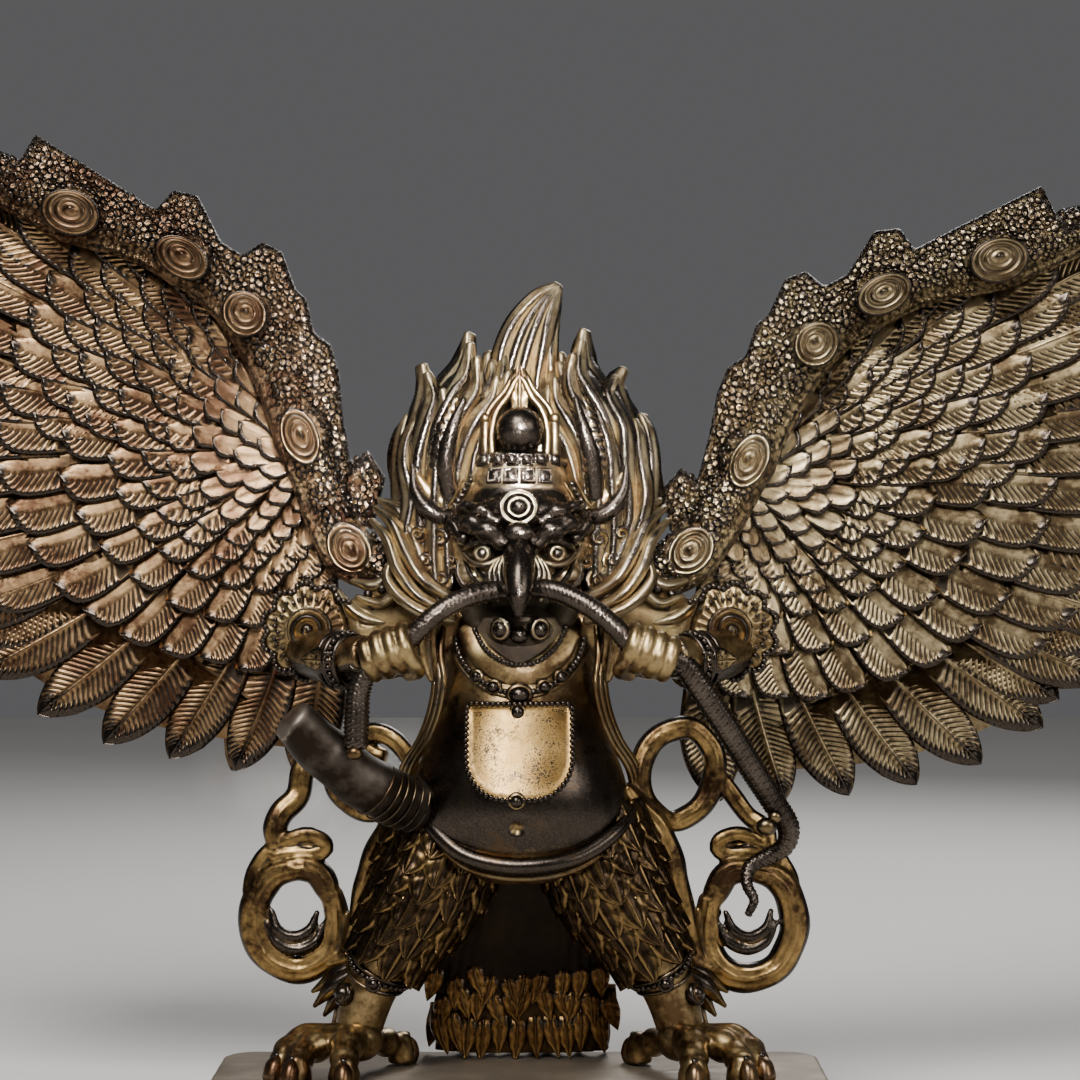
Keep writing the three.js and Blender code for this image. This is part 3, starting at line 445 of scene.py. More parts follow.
class Finish:
    """A material whose nodes are added by name"""

    def __init__(self, name):
        self.material = bpy.data.materials.new(name)
        self.material.use_nodes = True
        self.tree = self.material.node_tree
        self.tree.nodes.clear()
        self.place = self.node("ShaderNodeTexCoord", output="Object")

    def node(self, kind, settings=None, inputs=None, output=0):
        """One node of any kind: its settings first, then the values or links of its sockets"""
        made = self.tree.nodes.new(kind)
        for name, value in (settings or {}).items():
            setattr(made, name, value)
        for name, value in (inputs or {}).items():
            if isinstance(value, Wire):
                self.tree.links.new(value.socket, made.inputs[name])
            else:
                made.inputs[name].default_value = value
        return Wire(self, made.outputs[output])

    def grain(self, scale, detail=4.0, rough=0.6):
        return self.node("ShaderNodeTexNoise", None, {
            "Vector": self.place, "Scale": scale, "Detail": detail, "Roughness": rough})

    def cells(self, scale):
        return self.node("ShaderNodeTexVoronoi", None, {"Vector": self.place, "Scale": scale})

    def blend(self, share, first, second):
        return self.node("ShaderNodeMix", {"data_type": "RGBA"}, {0: share, 6: first, 7: second}, output=2)

    def wear_and_shade(self):
        return self.node("ShaderNodeAttribute", {"attribute_name": "wear_and_shade"}, output="Fac")

    def surface(self, colour, roughness, metallic, height, bump, depth):
        normal = self.node("ShaderNodeBump", None, {"Height": height, "Strength": bump, "Distance": depth})
        shader = self.node("ShaderNodeBsdfPrincipled", None, {
            "Base Color": colour, "Roughness": roughness, "Metallic": metallic, "Normal": normal})
        end = self.tree.nodes.new("ShaderNodeOutputMaterial")
        self.tree.links.new(shader.socket, end.inputs["Surface"])
        return self.material


def rgb(hexadecimal):
    """A colour as it is seen, turned to the light that a shader works in"""
    seen = [int(hexadecimal[i:i + 2], 16) / 255 for i in (0, 2, 4)]
    return (*((c / 12.92) if c < 0.04 else ((c + 0.055) / 1.055) ** 2.4 for c in seen), 1.0)


# BARE is bronze where the gilding has come off; DEEP is the dark of grime and painted shade in hollows, and
# of the specks in bare bronze
BARE, DEEP = rgb("595048"), rgb("19120d")


def worn_gilding(name, gold, brown, crust=0.0, polish=0.34, specks=0.0):
    """Gilding that has come off to show dark bronze on what stands proud, with grime and painted shade in
    what lies deep. Crust adds the small curls of the wings' bars, and specks breaks the bare places up into
    dark dots."""
    finish = Finish(name)
    wear_and_shade = finish.wear_and_shade()
    patches, flecks, grit = finish.grain(38.0), finish.grain(260.0, 4.0, 0.7), finish.grain(1500.0, 2.0)
    shade = finish.blend(((patches - 0.4) * 3.0 + (flecks - 0.5) * 1.6).clipped(), rgb(brown), rgb(gold))
    if specks:
        bared = wear_and_shade - 0.52 + (patches - 0.5) * 0.7 + (grit - 0.5) * specks + (flecks - 0.5) * 0.8
        rub = (bared * 5.0).clipped()
    else:
        bared = wear_and_shade - 0.61 + (patches - 0.5) * 0.55 + (flecks - 0.5) * 0.35
        rub = (bared * 6.0).clipped()
    # Hollows, where the wear channel is low, turn dark: grime, and painted shade standing in for their depth
    dirt_and_shade = ((0.455 - wear_and_shade + (flecks - 0.5) * 0.25 + (patches - 0.5) * 0.2) * 6.5).clipped()
    colour = finish.blend(rub, shade, finish.blend((grit * 1.4 - 0.2).clipped(), BARE, DEEP))
    colour = finish.blend(dirt_and_shade * 0.9, colour, DEEP)
    height = flecks * 0.5 + grit * 0.3
    if crust:
        curls = finish.cells(430.0)
        # The gaps between the curls are coloured DEEP: grime and painted shade
        colour = finish.blend(((curls - 0.42) * 3.0).clipped() * crust, colour, DEEP)
        height = height + (curls * 26.0 + flecks * 2.0).wave() * crust
    rough = polish + (flecks - 0.5) * 0.22 + dirt_and_shade * 0.3 - rub * 0.07
    return finish.surface(colour, rough, 1.0 - dirt_and_shade * 0.28, height, 0.35 + 0.4 * crust, 0.00035)


def dark_bronze(name, dark, light, deep, polish=0.3, metal=1.0):
    """Bare dark metal, polished where it is handled"""
    finish = Finish(name)
    wear_and_shade = finish.wear_and_shade()
    patches, flecks = finish.grain(45.0), finish.grain(420.0, 4.0, 0.7)
    shade = finish.blend(((wear_and_shade - 0.5) * 3.0 + (patches - 0.45) * 1.6).clipped(), rgb(dark), rgb(light))
    # Hollows, where the wear channel is low, turn dark: grime, and painted shade standing in for their depth
    dirt_and_shade = ((0.42 - wear_and_shade + (flecks - 0.5) * 0.2) * 5.0).clipped()
    colour = finish.blend(dirt_and_shade * 0.85, shade, rgb(deep))
    rough = polish + (flecks - 0.5) * 0.25 + dirt_and_shade * 0.3
    return finish.surface(colour, rough, metal - dirt_and_shade * 0.4, flecks * 0.6 + patches * 0.3, 0.3, 0.0003)


CRUST = 0.85
GILT = worn_gilding("worn_gilding", "c0a674", "5c4730")
BRIGHT_GILT = worn_gilding("bright_gilding", "dfcda2", "7d6a50")
SPECKLED_GILT = worn_gilding("speckled_gilding", "c8a468", "8f7040", polish=0.4, specks=1.5)
FRINGE_GILT = worn_gilding("fringe_gilding", "b18a52", "5e4427")
FEATHER_BRONZE = dark_bronze("feather_bronze", "35291d", "94774b", "120d09", 0.28)
PATCHY_GILT = worn_gilding("patchy_gilding", "bb985e", "453323")
BROWN_GILT = worn_gilding("brown_gilding", "8d6f45", "3f2e1c")
RED_CRUST = worn_gilding("crusted_gilding_reddish", "bb9c74", "5e4332", CRUST)
OLIVE_CRUST = worn_gilding("crusted_gilding_olive", "c8b284", "64523b", CRUST)
BROWN_METAL = dark_bronze("brown_metal", "2c241d", "8a7f74", "14100c", 0.5)
RED_GILT = worn_gilding("worn_gilding_reddish", "b8966c", "583f2d")
OLIVE_GILT = worn_gilding("worn_gilding_olive", "c6b086", "5d4c36")
DARK_METAL = dark_bronze("dark_metal", "2d2622", "6d6258", "120f0d")
GREY_BRONZE = dark_bronze("grey_bronze", "6d6254", "978a78", "2a241e", 0.5, 0.6)


# Things set out many times over, by trees of geometry nodes

class Layout:
    """A tree of geometry nodes with named inputs, which sets out copies of one thing"""

    def __init__(self, name, **sizes):
        self.tree = bpy.data.node_groups.new(name, "GeometryNodeTree")
        self.face = self.tree.interface
        self.face.new_socket("Geometry", in_out="INPUT", socket_type="NodeSocketGeometry")
        self.names = {}
        for label, value in {**sizes, "Thing": None, "Material": None}.items():
            kinds = {float: "Float", int: "Int"}
            kind = kinds.get(type(value), "Object" if label == "Thing" else "Material")
            socket = self.face.new_socket(label, in_out="INPUT", socket_type=f"NodeSocket{kind}")
            if value is not None:
                socket.default_value = value
            self.names[label] = socket.identifier
        self.face.new_socket("Geometry", in_out="OUTPUT", socket_type="NodeSocketGeometry")
        self.given = self.tree.nodes.new("NodeGroupInput").outputs

    def add(self, kind, settings=None, output=0, **inputs):
        """One node of any kind, whose inputs are named with _ for each space"""
        node = self.tree.nodes.new(kind)
        for name, value in (settings or {}).items():
            setattr(node, name, value)
        for name, value in inputs.items():
            socket = node.inputs[name.replace("_", " ")]
            if isinstance(value, bpy.types.NodeSocket):
                self.tree.links.new(value, socket)
            else:
                socket.default_value = value
        return node.outputs[output]

    def attribute(self, name, kind):
        return self.add("GeometryNodeInputNamedAttribute", {"data_type": kind}, Name=name)

    def copies(self, points, scale, rotation=(0, 0, 0)):
        """Ends the tree: the thing at every point, made real, with its material"""
        info = self.add("GeometryNodeObjectInfo", output="Geometry", Object=self.given["Thing"])
        placed = self.add("GeometryNodeInstanceOnPoints", Points=points, Instance=info, Rotation=rotation,
                          Scale=scale)
        real = self.add("GeometryNodeRealizeInstances", Geometry=placed)
        ended = self.add("GeometryNodeSetMaterial", Geometry=real, Material=self.given["Material"])
        self.tree.links.new(ended, self.tree.nodes.new("NodeGroupOutput").inputs[0])

    def of(self, mesh, thing, **values):
        """The plain form that the tree makes from a mesh and the thing to repeat"""
        thing_mesh = mesh_of("thing", thing, 1.0, np.zeros(3))
        base, copy = set_out("base", mesh), set_out("thing", thing_mesh)
        modifier = base.modifiers.new("layout", "NODES")
        modifier.node_group = self.tree
        for label, value in {**values, "Thing": copy, "Material": GILT}.items():
            modifier[self.names[label]] = value
        result = finished_mesh(base)
        form = form_of(result)
        base.modifiers.remove(modifier)
        for made in (base, copy):
            bpy.data.objects.remove(made)
        for made in (mesh, thing_mesh, result):
            bpy.data.meshes.remove(made)
        return form


def string_layout():
    """Copies on given points, each with its own size"""
    layout = Layout("strung")
    layout.copies(layout.given["Geometry"], layout.attribute("size", "FLOAT"))
    return layout


def sowing_layout():
    """Copies sown at random over a surface, where its grain value allows them"""
    layout = Layout("sown", Spacing=0.8, Density=3.0, Seed=5, Least=0.8, Most=1.15)
    given = layout.given
    sow = layout.add("GeometryNodeDistributePointsOnFaces", {"distribute_method": "POISSON"}, 0,
                     Mesh=given["Geometry"], Distance_Min=given["Spacing"], Density_Max=given["Density"],
                     Density_Factor=layout.attribute("grain", "FLOAT"), Seed=given["Seed"])
    spin = layout.add("FunctionNodeRandomValue", {"data_type": "FLOAT_VECTOR"}, 0, Max=(0.3, 0.3, 6.28),
                      Seed=given["Seed"])
    turn = layout.add("FunctionNodeRotateRotation", {"rotation_space": "LOCAL"}, 0,
                      Rotation=sow.node.outputs["Rotation"],
                      Rotate_By=layout.add("FunctionNodeEulerToRotation", Euler=spin))
    size = layout.add("FunctionNodeRandomValue", {"data_type": "FLOAT"}, 1, Seed=given["Seed"])
    for place, label in ((2, "Least"), (3, "Most")):
        layout.tree.links.new(given[label], size.node.inputs[place])
    layout.copies(sow, size, turn)
    return layout


STRUNG, SOWN = string_layout(), sowing_layout()


def strung(places, size, rubbed_and_shaded=0.1):
    """Beads of one size on a row of places"""
    mesh = bpy.data.meshes.new("places")
    mesh.vertices.add(len(places))
    mesh.vertices.foreach_set("co", np.asarray(places, np.float32).ravel())
    mark(mesh, "size", np.full(len(places), size))
    form = STRUNG.of(mesh, bead((0, 0, 0), 1, 10, 5))
    form.rubbed_and_shaded = form.rubbed_and_shaded + rubbed_and_shaded
    return form


# Wings, drawn for the figure's left side, then lifted about the root and mirrored

WING_ROOT = (22, 65.5)
FAN_CENTRE = np.array([28.8, 75.1])
FAN_LOW, FAN_FULL, FAN_FALL = -100, 2, 88
FAN_SPREAD = 0.25
FAN_DEPTH, FAN_SWEEP = 11.1, 2.4
FAN_REACH, FAN_SHORTENING = 59.5, 18
FAN_BEND = 0.16
RIGHT_WING_LIFT, LEFT_WING_LIFT = 5.5, 0
RIGHT_WING_RISE, RISE_REACH = 2.5, 12
BAR_LINE = np.array([
    [14.5, 6.1, 59.5], [17.5, 6.1, 62.7], [22, 6.1, 65.5], [26.2, 6.7, 71.8], [29.4, 7.2, 77.6],
    [33.1, 7.8, 85.4], [38, 8.1, 92.6], [42.3, 8.3, 96.5], [46.6, 8.3, 99.1], [54, 8.3, 102.1],
    [61.5, 7.8, 103.4], [68.8, 7.2, 106.2], [75.1, 6.8, 108.2], [80.5, 6.6, 108.4], [84.6, 6.6, 106.6],
])
BAR_WIDTHS = [2.4, 3, 3.2, 3.1, 3, 3, 3.1, 3.1, 3.2, 3.2, 3.2, 3, 2.6, 2, 1.2]
BAR_BOSSES = [
    # place of each boss and its half-lengths along and across the bar
    (22, 65.8, 3.5, 2.7), (29.5, 77.4, 3.8, 2.4), (38.1, 92.4, 3.1, 2.8), (46.8, 98.8, 3.8, 2.5),
    (61.6, 103.2, 3.9, 2.9), (75.4, 107.2, 3.1, 2.3),
]
CREST_EDGE = np.array([
    # outer edge of the thin crest along the bar, a row of blunt fins, from the root to the wing's tip
    [18.2, 73.6], [21, 76.8], [22.4, 72.9], [24.5, 80.8], [25.5, 86.2], [26.9, 89.7], [29.3, 91.2],
    [30.6, 95.3], [32.2, 96.5], [34.4, 101.2], [37.1, 102.2], [39.5, 100.2], [42.5, 101.8], [46, 107.4],
    [49.3, 107.8], [51.2, 105], [57.2, 108.1], [67.8, 113.3], [70.3, 107.2], [74.6, 109.2], [80.8, 115.6],
    [82.6, 110],
])
CREST_DEPTH = 7.1
CREST_START = 2
CREST_ROOT = (19.4, 68.4)
FEATHER_ROWS = [
    # reach of the tips as a share of the fan, feathers from the bottom to the top, strokes cut in each vane,
    # and the lowest angle at which the row has feathers
    (0.055, 5, 0, -100), (0.115, 6, 0, -100), (0.165, 8, 0, -100), (0.21, 10, 0, -100), (0.26, 12, 0, -100),
    (0.315, 13, 4, -100), (0.375, 15, 5, -100), (0.44, 16, 7, -100), (0.495, 18, 7, -2), (0.55, 16, 9, -100),
    (0.615, 19, 8, -2), (0.695, 18, 10, -100), (0.84, 20, 12, -30), (0.99, 14, 17, -100),
]
FILLERS_FROM = -36
LOW_TIPS_LONGER = 0.025
FEATHER_THICKNESS = 0.66
FEATHER_TILT = 0.75
FEATHER_LEAN = 0.42
STROKE_SLANT = 1.15
STROKE_PHASES, STROKE_DEPTHS = (0, 0.3, 0.75), (-1, -0.15, 0)
PLAIN_COLUMNS = [-1, -0.93, -0.8, -0.55, -0.25, 0.06, 0.2, 0.34, 0.5, 0.66, 1]
COVERT_COLUMNS = [-1, -0.94, -0.84, -0.7, -0.5, -0.28, -0.08, 0.06, 0.2, 0.34, 0.5, 0.66, 0.82, 1]
QUILL_COLUMNS = [-1, -0.93, -0.8, -0.6, -0.38, -0.2, -0.08, 0, 0.08, 0.2, 0.38, 0.6, 0.8, 0.93, 1]
ROW_STEP = 0.13
HIDDEN = 0.2            # share of a feather that lies under the row before it


def apart(points, place):
    """Distances of points from a place, as they are seen from the front"""
    return np.hypot(points[..., 0] - place[0], points[..., 2] - place[1])


def fan_reach(angle):
    """Length of the fan's longest feathers at an angle"""
    return FAN_REACH - FAN_SHORTENING * smooth((FAN_FULL - angle) / FAN_FALL)


def bar_angle(distance):
    """The bar's angle about the fan's centre, at a distance from it"""
    beyond = BAR_LINE[4:, [0, 2]] - FAN_CENTRE
    return float(np.interp(distance, np.hypot(*beyond.T), np.degrees(np.arctan2(beyond[:, 1], beyond[:, 0]))))


def fan_place(angle, distance, across=0.0, forward=0.0):
    """A point of the wing: on the fan's line that ends at an angle, moved across it and forward"""
    share = distance / fan_reach(angle)
    turn = np.radians(angle * (1 + FAN_BEND * (1 - share)))
    step = 0.5
    later = np.radians(angle * (1 + FAN_BEND * (1 - share - step / fan_reach(angle))))
    here = np.stack([distance * np.cos(turn), distance * np.sin(turn)])
    ahead = np.stack([(distance + step) * np.cos(later), (distance + step) * np.sin(later)])
    way = (ahead - here) / np.hypot(*(ahead - here))
    x = FAN_CENTRE[0] + here[0] - way[1] * across
    z = FAN_CENTRE[1] + here[1] + way[0] * across
    y = FAN_DEPTH - FAN_SWEEP * (distance / FAN_REACH) ** 2 - forward
    return np.stack(np.broadcast_arrays(x, y, z), -1)


def feather(angle, start, end, half, base, strokes, behind=False):
    """A closed feather from start to end along the fan. Its lower edge is a thick roll that stands proud, its
    straight upper edge tucks under the next feather, and its strokes slant towards the tip. A long one is
    pointed and has a quill between two cut vanes."""
    quill = strokes > 12
    steps = np.arange(0 if behind else strokes)[:, None] + STROKE_PHASES
    shown = steps.ravel() / max(strokes, 1) if steps.size else np.array([0, 0.4, 0.65, 0.8, 0.92])
    tip = np.array([0.93, 0.965, 0.988, 1.0])
    share = np.concatenate([[0, 0.5 * HIDDEN], HIDDEN + (0.9 - HIDDEN) * shown, tip])
    depths = np.tile(STROKE_DEPTHS, len(steps)) if steps.size else np.zeros(len(shown))
    cut = np.concatenate([[0, 0], depths, np.zeros(len(tip))])[:, None]
    columns = QUILL_COLUMNS if quill and not behind else COVERT_COLUMNS if steps.size else PLAIN_COLUMNS
    over = np.array(columns)[None, :]
    shift = min(STROKE_SLANT * half / (end - start), 0.15)
    bump = smooth((share - 0.08) / 0.3) * smooth((1 - share) / 0.2)
    run = share[:, None] + shift * bump[:, None] * (np.abs(over) if quill else 1.3 * np.maximum(-over, 0))
    widest = 0.5 if quill else 0.6 if steps.size else 0.66
    beyond = np.clip((run - widest) / (1 - widest), 0, 1)
    swell = 0.74 + 0.26 * smooth(run / widest)
    if quill:
        outline = np.where(beyond > 0, np.clip(1 - beyond ** 2.1, 0, 1) ** 0.72, swell)
        across = over * np.maximum(outline, 0.03) * half
    else:
        top = 0.86 - (0.3 if steps.size else 0.5) * beyond ** 3
        rounded = (top + 1) * (1 - domed(beyond, 2.8)) - 1
        low = np.where(beyond > 0, rounded, -swell)
        across = (top + (np.minimum(low, top - 0.05) - top) * (1 - over) / 2) * half
    edge = (np.abs(over) ** 3 + beyond ** 3) ** (1 / 3)
    plump = domed(edge, 5) * (0.86 - (0.04 if quill else 0.16) * over)
    inside = smooth((0.94 - edge) / 0.14) * smooth((run - HIDDEN + 0.1) / 0.1)
    roll = 0.4 * hump(edge, 0.85, 0.09) * np.where(over < 0.25, 1.0, 0.3)
    if quill:
        line = 0.5 * hump(over, 0, 0.06) - 0.3 * hump(np.abs(over), 0.14, 0.06)
        vane = smooth((np.abs(over) - 0.1) / 0.1) * smooth((0.97 - np.abs(over)) / 0.1)
    else:
        line = -0.22 * sum(hump(over, place, 0.05) for place in (0.06, 0.34, 0.66))
        vane = smooth(-over / 0.1) * smooth((over + 0.86) / 0.12) if steps.size else 0 * over
    height = FEATHER_THICKNESS * (plump + plump * roll + inside * (line + 0.7 * cut * vane))
    distance = start + (end - start) * run
    tilt = FEATHER_TILT * run - FEATHER_LEAN * over * smooth(run / 0.4)
    sign = -0.6 if behind else 1
    front = fan_place(angle, distance, across, sign * (base + tilt + height - 0.12))
    rims = [-1, 0]
    flat = fan_place(angle, distance[:, rims], across[:, rims], sign * (base + tilt[:, rims] - 0.4))
    wear_and_shade = 0.27 * smooth((edge - 0.6) / 0.14) * (over < 0.5) * smooth((run - HIDDEN) / 0.12) - 0.04 * inside
    # The root, which lies under the row before it, is made darker: painted shade
    wear_and_shade = wear_and_shade + 0.18 * cut * vane - 0.12 * (1 - smooth((run - HIDDEN) / 0.16))
    wear_and_shade = wear_and_shade + (0.2 * smooth((run - 0.55) / 0.4) if quill else 0)
    return backed(front, flat, wear_and_shade, -0.2)


def feathers(behind=False):
    """The rows of feathers from the fan's centre outwards, the last being the primaries"""
    rows = []
    last = len(FEATHER_ROWS) - 1
    for row, (reach, count, strokes, lowest) in enumerate(FEATHER_ROWS):
        forms = []
        rows.append(forms)
        if behind and row < last - 2:
            continue
        primary = row == last
        begin = FEATHER_ROWS[row - 3 if row > 5 else row - 2][0] if row > 1 else 0.0
        span = bar_angle(reach * FAN_REACH) - FAN_LOW
        base = 0.12 + (0.0 if behind else ROW_STEP * (last - row))
        steps = np.arange(count) + (0.5 if primary or row % 2 else 0.05)
        if primary:
            steps = np.append(steps, steps[:-1] + 0.5)
        for order, step in enumerate(steps):
            wander = chance.uniform(-1, 1, 3) * (0.3 if primary else 1.0)
            share = (step + 0.08 * wander[0]) / count
            angle = FAN_LOW + span * share * (1 + FAN_SPREAD * (1 - share))
            filler = order >= count
            if angle < (FILLERS_FROM if filler else lowest):
                continue
            pitch = np.radians(span * (1 + FAN_SPREAD * (1 - 2 * share)) / count)
            length = fan_reach(angle) * reach * (1 + 0.014 * wander[1]) * (0.96 if filler else 1.0)
            if primary:
                length *= 1 + LOW_TIPS_LONGER * smooth((-30 - angle) / 30)
            half = pitch * length * (0.45 if primary else 0.59 + 0.02 * wander[2])
            under = base - (0.3 if filler and not behind else 0.0)
            forms.append(feather(angle, fan_reach(angle) * begin, length, half, under, strokes, behind))
    return rows


def web():
    """The plate that the feathers stand on"""
    reach = np.linspace(0.03, 0.92, 14)
    front, back = [], []
    for share in reach:
        line = np.linspace(FAN_LOW + 3, bar_angle(share * FAN_REACH) + 1, 40)
        distance = fan_reach(line) * share
        front.append(fan_place(line, distance, 0.0, 0.2))
        back.append(fan_place(line, distance, 0.0, 0.02))
    return lofted(np.concatenate([np.array(front), np.array(back)[:, ::-1]], 1))


def bar_lines():
    """Plain ropes that follow the bar's inner and outer edge"""
    forms = []
    centres, ways, places, _ = route(BAR_LINE[1:], 60)
    inward = np.cross(ways, FRONT)
    for offset, forward, radius in ((-0.95, 1.6, 0.48), (-1.12, 0.5, 0.4), (0.62, 2.2, 0.36)):
        width = stations(BAR_WIDTHS[1:], places)[:, None]
        line = centres - inward * offset * width + FRONT * forward
        forms.append(tube(line[::3], radius, count=150, sides=8, rubbed_and_shaded=0.12))
    return forms


def crest():
    """The thin blade of fins that stands out from the bar, thick at its foot and sharp at its edge"""
    corners = np.vstack([CREST_ROOT, CREST_EDGE])
    run = run_of(corners)
    edge = read_off(np.linspace(0, run[-1], 230), run, corners)
    foot = route(BAR_LINE[CREST_START:], 200)[0]
    near = np.array([np.argmin(apart(foot, place)) for place in edge])
    foot = foot[np.maximum.accumulate(near)]
    shares = np.array([0, 0.3, 0.6, 0.85, 0.97, 1.0])
    thick = np.array([1.9, 1.6, 1.15, 0.75, 0.5, 0.2])[:, None] * (0, 1, 0)
    rings = []
    for near_point, (x, z) in zip(foot, edge):
        line = near_point + shares[:, None] * (np.array([x, CREST_DEPTH, z]) - near_point)
        line[:, 1] = CREST_DEPTH + 0.4 * shares
        rings.append(np.concatenate([line - thick, (line + thick)[::-1]]))
    return lofted(rings)


def granule():
    """One curl of the bar's crust: a low ring about a dimple"""
    return turned((0, 0, 0), [(1, -0.3), (0.76, 0.55), (0.3, 0.3)], UP, 5, oval=1.35)


GRAIN_SIZE = 0.52


def bar():
    """The crusted leading edge with its crest, and the curls sown on it"""
    forms = [tube(BAR_LINE, BAR_WIDTHS, sides=20, count=90), crest()] + bar_lines()
    for x, z, along, across in BAR_BOSSES:
        forms.append(bead((x, 5.6, z), (along, along, 2.6), 16, 8))
    skin = clay(forms, voxel=0.3, rounds=1)
    points, normals = skin.points, skin.normals()
    clear = np.full(len(points), 1e9)
    for x, z, along, across in BAR_BOSSES:
        clear = np.minimum(clear, apart(points, (x, z)) - 0.5 * (along + across))
    corners = np.vstack([CREST_ROOT, CREST_EDGE])
    edge = np.concatenate([near + (far - near) * np.linspace(0, 1, 12)[:, None]
                           for near, far in zip(corners[:-1], corners[1:])])
    rim = np.min([apart(points, place) for place in edge], axis=0)
    middle = route(BAR_LINE[1:], 120)[0][:, [0, 2]]
    inner = np.argmin([apart(points, place) for place in middle], axis=0)
    way = np.gradient(middle, axis=0)[inner]
    side = points[:, [0, 2]] - middle[inner]
    below = (way[:, 0] * side[:, 1] - way[:, 1] * side[:, 0]) / np.hypot(*way.T)
    crusted = smooth(clear / 0.4) * smooth((0.3 - normals[:, 1]) / 0.3) * smooth((rim - 0.45) / 0.3)
    crusted = crusted * smooth((below + 2.1) / 0.4)
    skin.rubbed_and_shaded = skin.rubbed_and_shaded + 0.25 * smooth((0.9 - rim) / 0.4) - 0.08 * crusted
    mesh = mesh_of("crust", skin, 1.0, np.zeros(3))
    mark(mesh, "grain", crusted)
    grown = granule()
    grown.points *= GRAIN_SIZE
    grains = SOWN.of(mesh, grown, Spacing=0.78, Density=14.0, Least=0.65, Most=1.3)
    grains.rubbed_and_shaded = grains.rubbed_and_shaded + 0.02
    return [skin, grains]


def oval_boss(x, z, along, across):
    """A boss of ridged rings about a knob, the rings closer together at its upper side"""
    centres, ways = route(BAR_LINE, 90)[:2]
    way = ways[np.argmin(apart(centres, (x, z)))]
    lean = math.atan2(way[2], way[0])
    reach = np.linspace(1, 0.04, 20)[:, None]
    turn = angles(36)
    ring = 0.5 + 0.5 * np.cos(2 * np.pi * 3.6 * (1 - reach))
    rise = 0.95 * domed(reach, 2.6) + 0.42 * ring * smooth((reach - 0.2) / 0.1) + 0.65 * hump(reach, 0, 0.2)
    run = reach * np.cos(turn) * along
    over = (reach * np.sin(turn) + 0.16 * (1 - reach)) * across
    rings = np.stack(np.broadcast_arrays(x + run * math.cos(lean) - over * math.sin(lean), 3.5 - rise,
                                         z + run * math.sin(lean) + over * math.cos(lean)), -1)
    skirt = rings[:1] + (0, 1.6, 0)
    wear_and_shade = np.concatenate([[[0.0]], 0.24 * hump(reach, 0, 0.18) + 0.1 * ring - 0.05])
    return lofted(np.concatenate([skirt, rings]), wear_and_shade)


def wing(side, lift, raised, word, finish, crusted):
    """All the pieces of one wing"""
    turn = math.radians(lift)
    rotation = np.array([[math.cos(turn), -math.sin(turn)], [math.sin(turn), math.cos(turn)]])

    def place(points):
        away = points[:, [0, 2]] - WING_ROOT
        flat = away @ rotation.T + WING_ROOT
        high = raised * smooth(np.hypot(*away.T) / RISE_REACH)
        return np.stack([side * flat[:, 0], points[:, 1], flat[:, 1] + high], 1)

    node = f"{word}_wing"
    rows = [[form.put(place) for form in row] for row in feathers()]
    piece(f"{word}_wing_coverts", sum(rows[:-2], []), finish, node, wear=1.2, keep=0.72)
    piece(f"{word}_wing_primaries", sum(rows[-2:], []), finish, node, wear=1.2, keep=0.8)
    back = [form.put(place) for row in feathers(behind=True) for form in row] + [web().put(place)]
    piece(f"{word}_wing_back", back, finish, node, wear=1.0)
    skin, grains = bar()
    piece(f"{word}_wing_bar", skin.put(place), crusted, node, wear=1.1, keep=0.42)
    piece(f"{word}_wing_crust", grains.put(place), finish, node, wear=0.8)
    bosses = [oval_boss(*sizes).put(place) for sizes in BAR_BOSSES]
    piece(f"{word}_wing_bosses", bosses, finish, node, wear=1.1)


# Torso and limbs

TORSO_LINE = np.array([
    [0, -1.1, 57.5], [0, -1.4, 52], [0, -1.9, 47], [0, -2.8, 41.3], [0, -3.3, 35.7], [0, -2.8, 30.6],
    [0, -1.7, 26.4], [0, 0, 23.5],
])
TORSO_WIDTHS = [7.6, 9.2, 9.9, 11.8, 14.1, 13.4, 8.6, 4]
TORSO_DEPTHS = [6, 7.2, 7.8, 9.6, 12, 11.2, 6.4, 3]
ARM_LINE = np.array([
    [10.7, 0, 58.1], [19.2, 1.2, 56.3], [26.6, -2.8, 54.3], [22.6, -11.7, 52.4], [18.4, -16.1, 53.1],
])
ARM_RADII = [4.6, 3.9, 3.7, 2.9, 2.6]
LEG_LINE = np.array([
    [9.2, -1.1, 30], [12.4, -2.8, 22.2], [15.9, -3.9, 16.2], [18.7, -4.4, 11], [20.5, -4.7, 5],
])
LEG_RADII = [7.2, 6.2, 4.5, 3.4, 2.9]
BODY_SKIN = 0.36
EASE_STEPS, EASE_REACH = 73, 7


def torso_front(across, height):
    """Depth of the torso's front at a distance from the middle and a height"""
    line = TORSO_LINE[::-1]
    width = np.interp(height, line[:, 2], TORSO_WIDTHS[::-1])
    depth = np.interp(height, line[:, 2], TORSO_DEPTHS[::-1])
    centre = np.interp(height, line[:, 2], line[:, 1])
    return centre - depth * domed(across / width)


def on_torso(path, proud=0.0):
    """Places on the torso's front, from pairs of across and height"""
    path = np.asarray(path, float)
    return np.stack([path[:, 0], torso_front(path[:, 0], path[:, 1]) - proud, path[:, 1]], 1)


def path_of(points, count):
    return route(points, count)[0]


def dent(form, centre, radius, depth):
    """Presses a round hollow into a form, backwards, or lifts a swelling with a negative depth"""
    near = np.exp(-np.sum(((form.points - centre) / radius) ** 2, 1))
    form.points[:, 1] += depth * near
    return form


def eased(values):
    """The same widths without corners at their stations"""
    dense = stations(values, np.linspace(0, 1, EASE_STEPS))
    window = 2 * EASE_REACH + 1
    return np.convolve(np.pad(dense, EASE_REACH, mode="edge"), np.ones(window) / window, "valid")


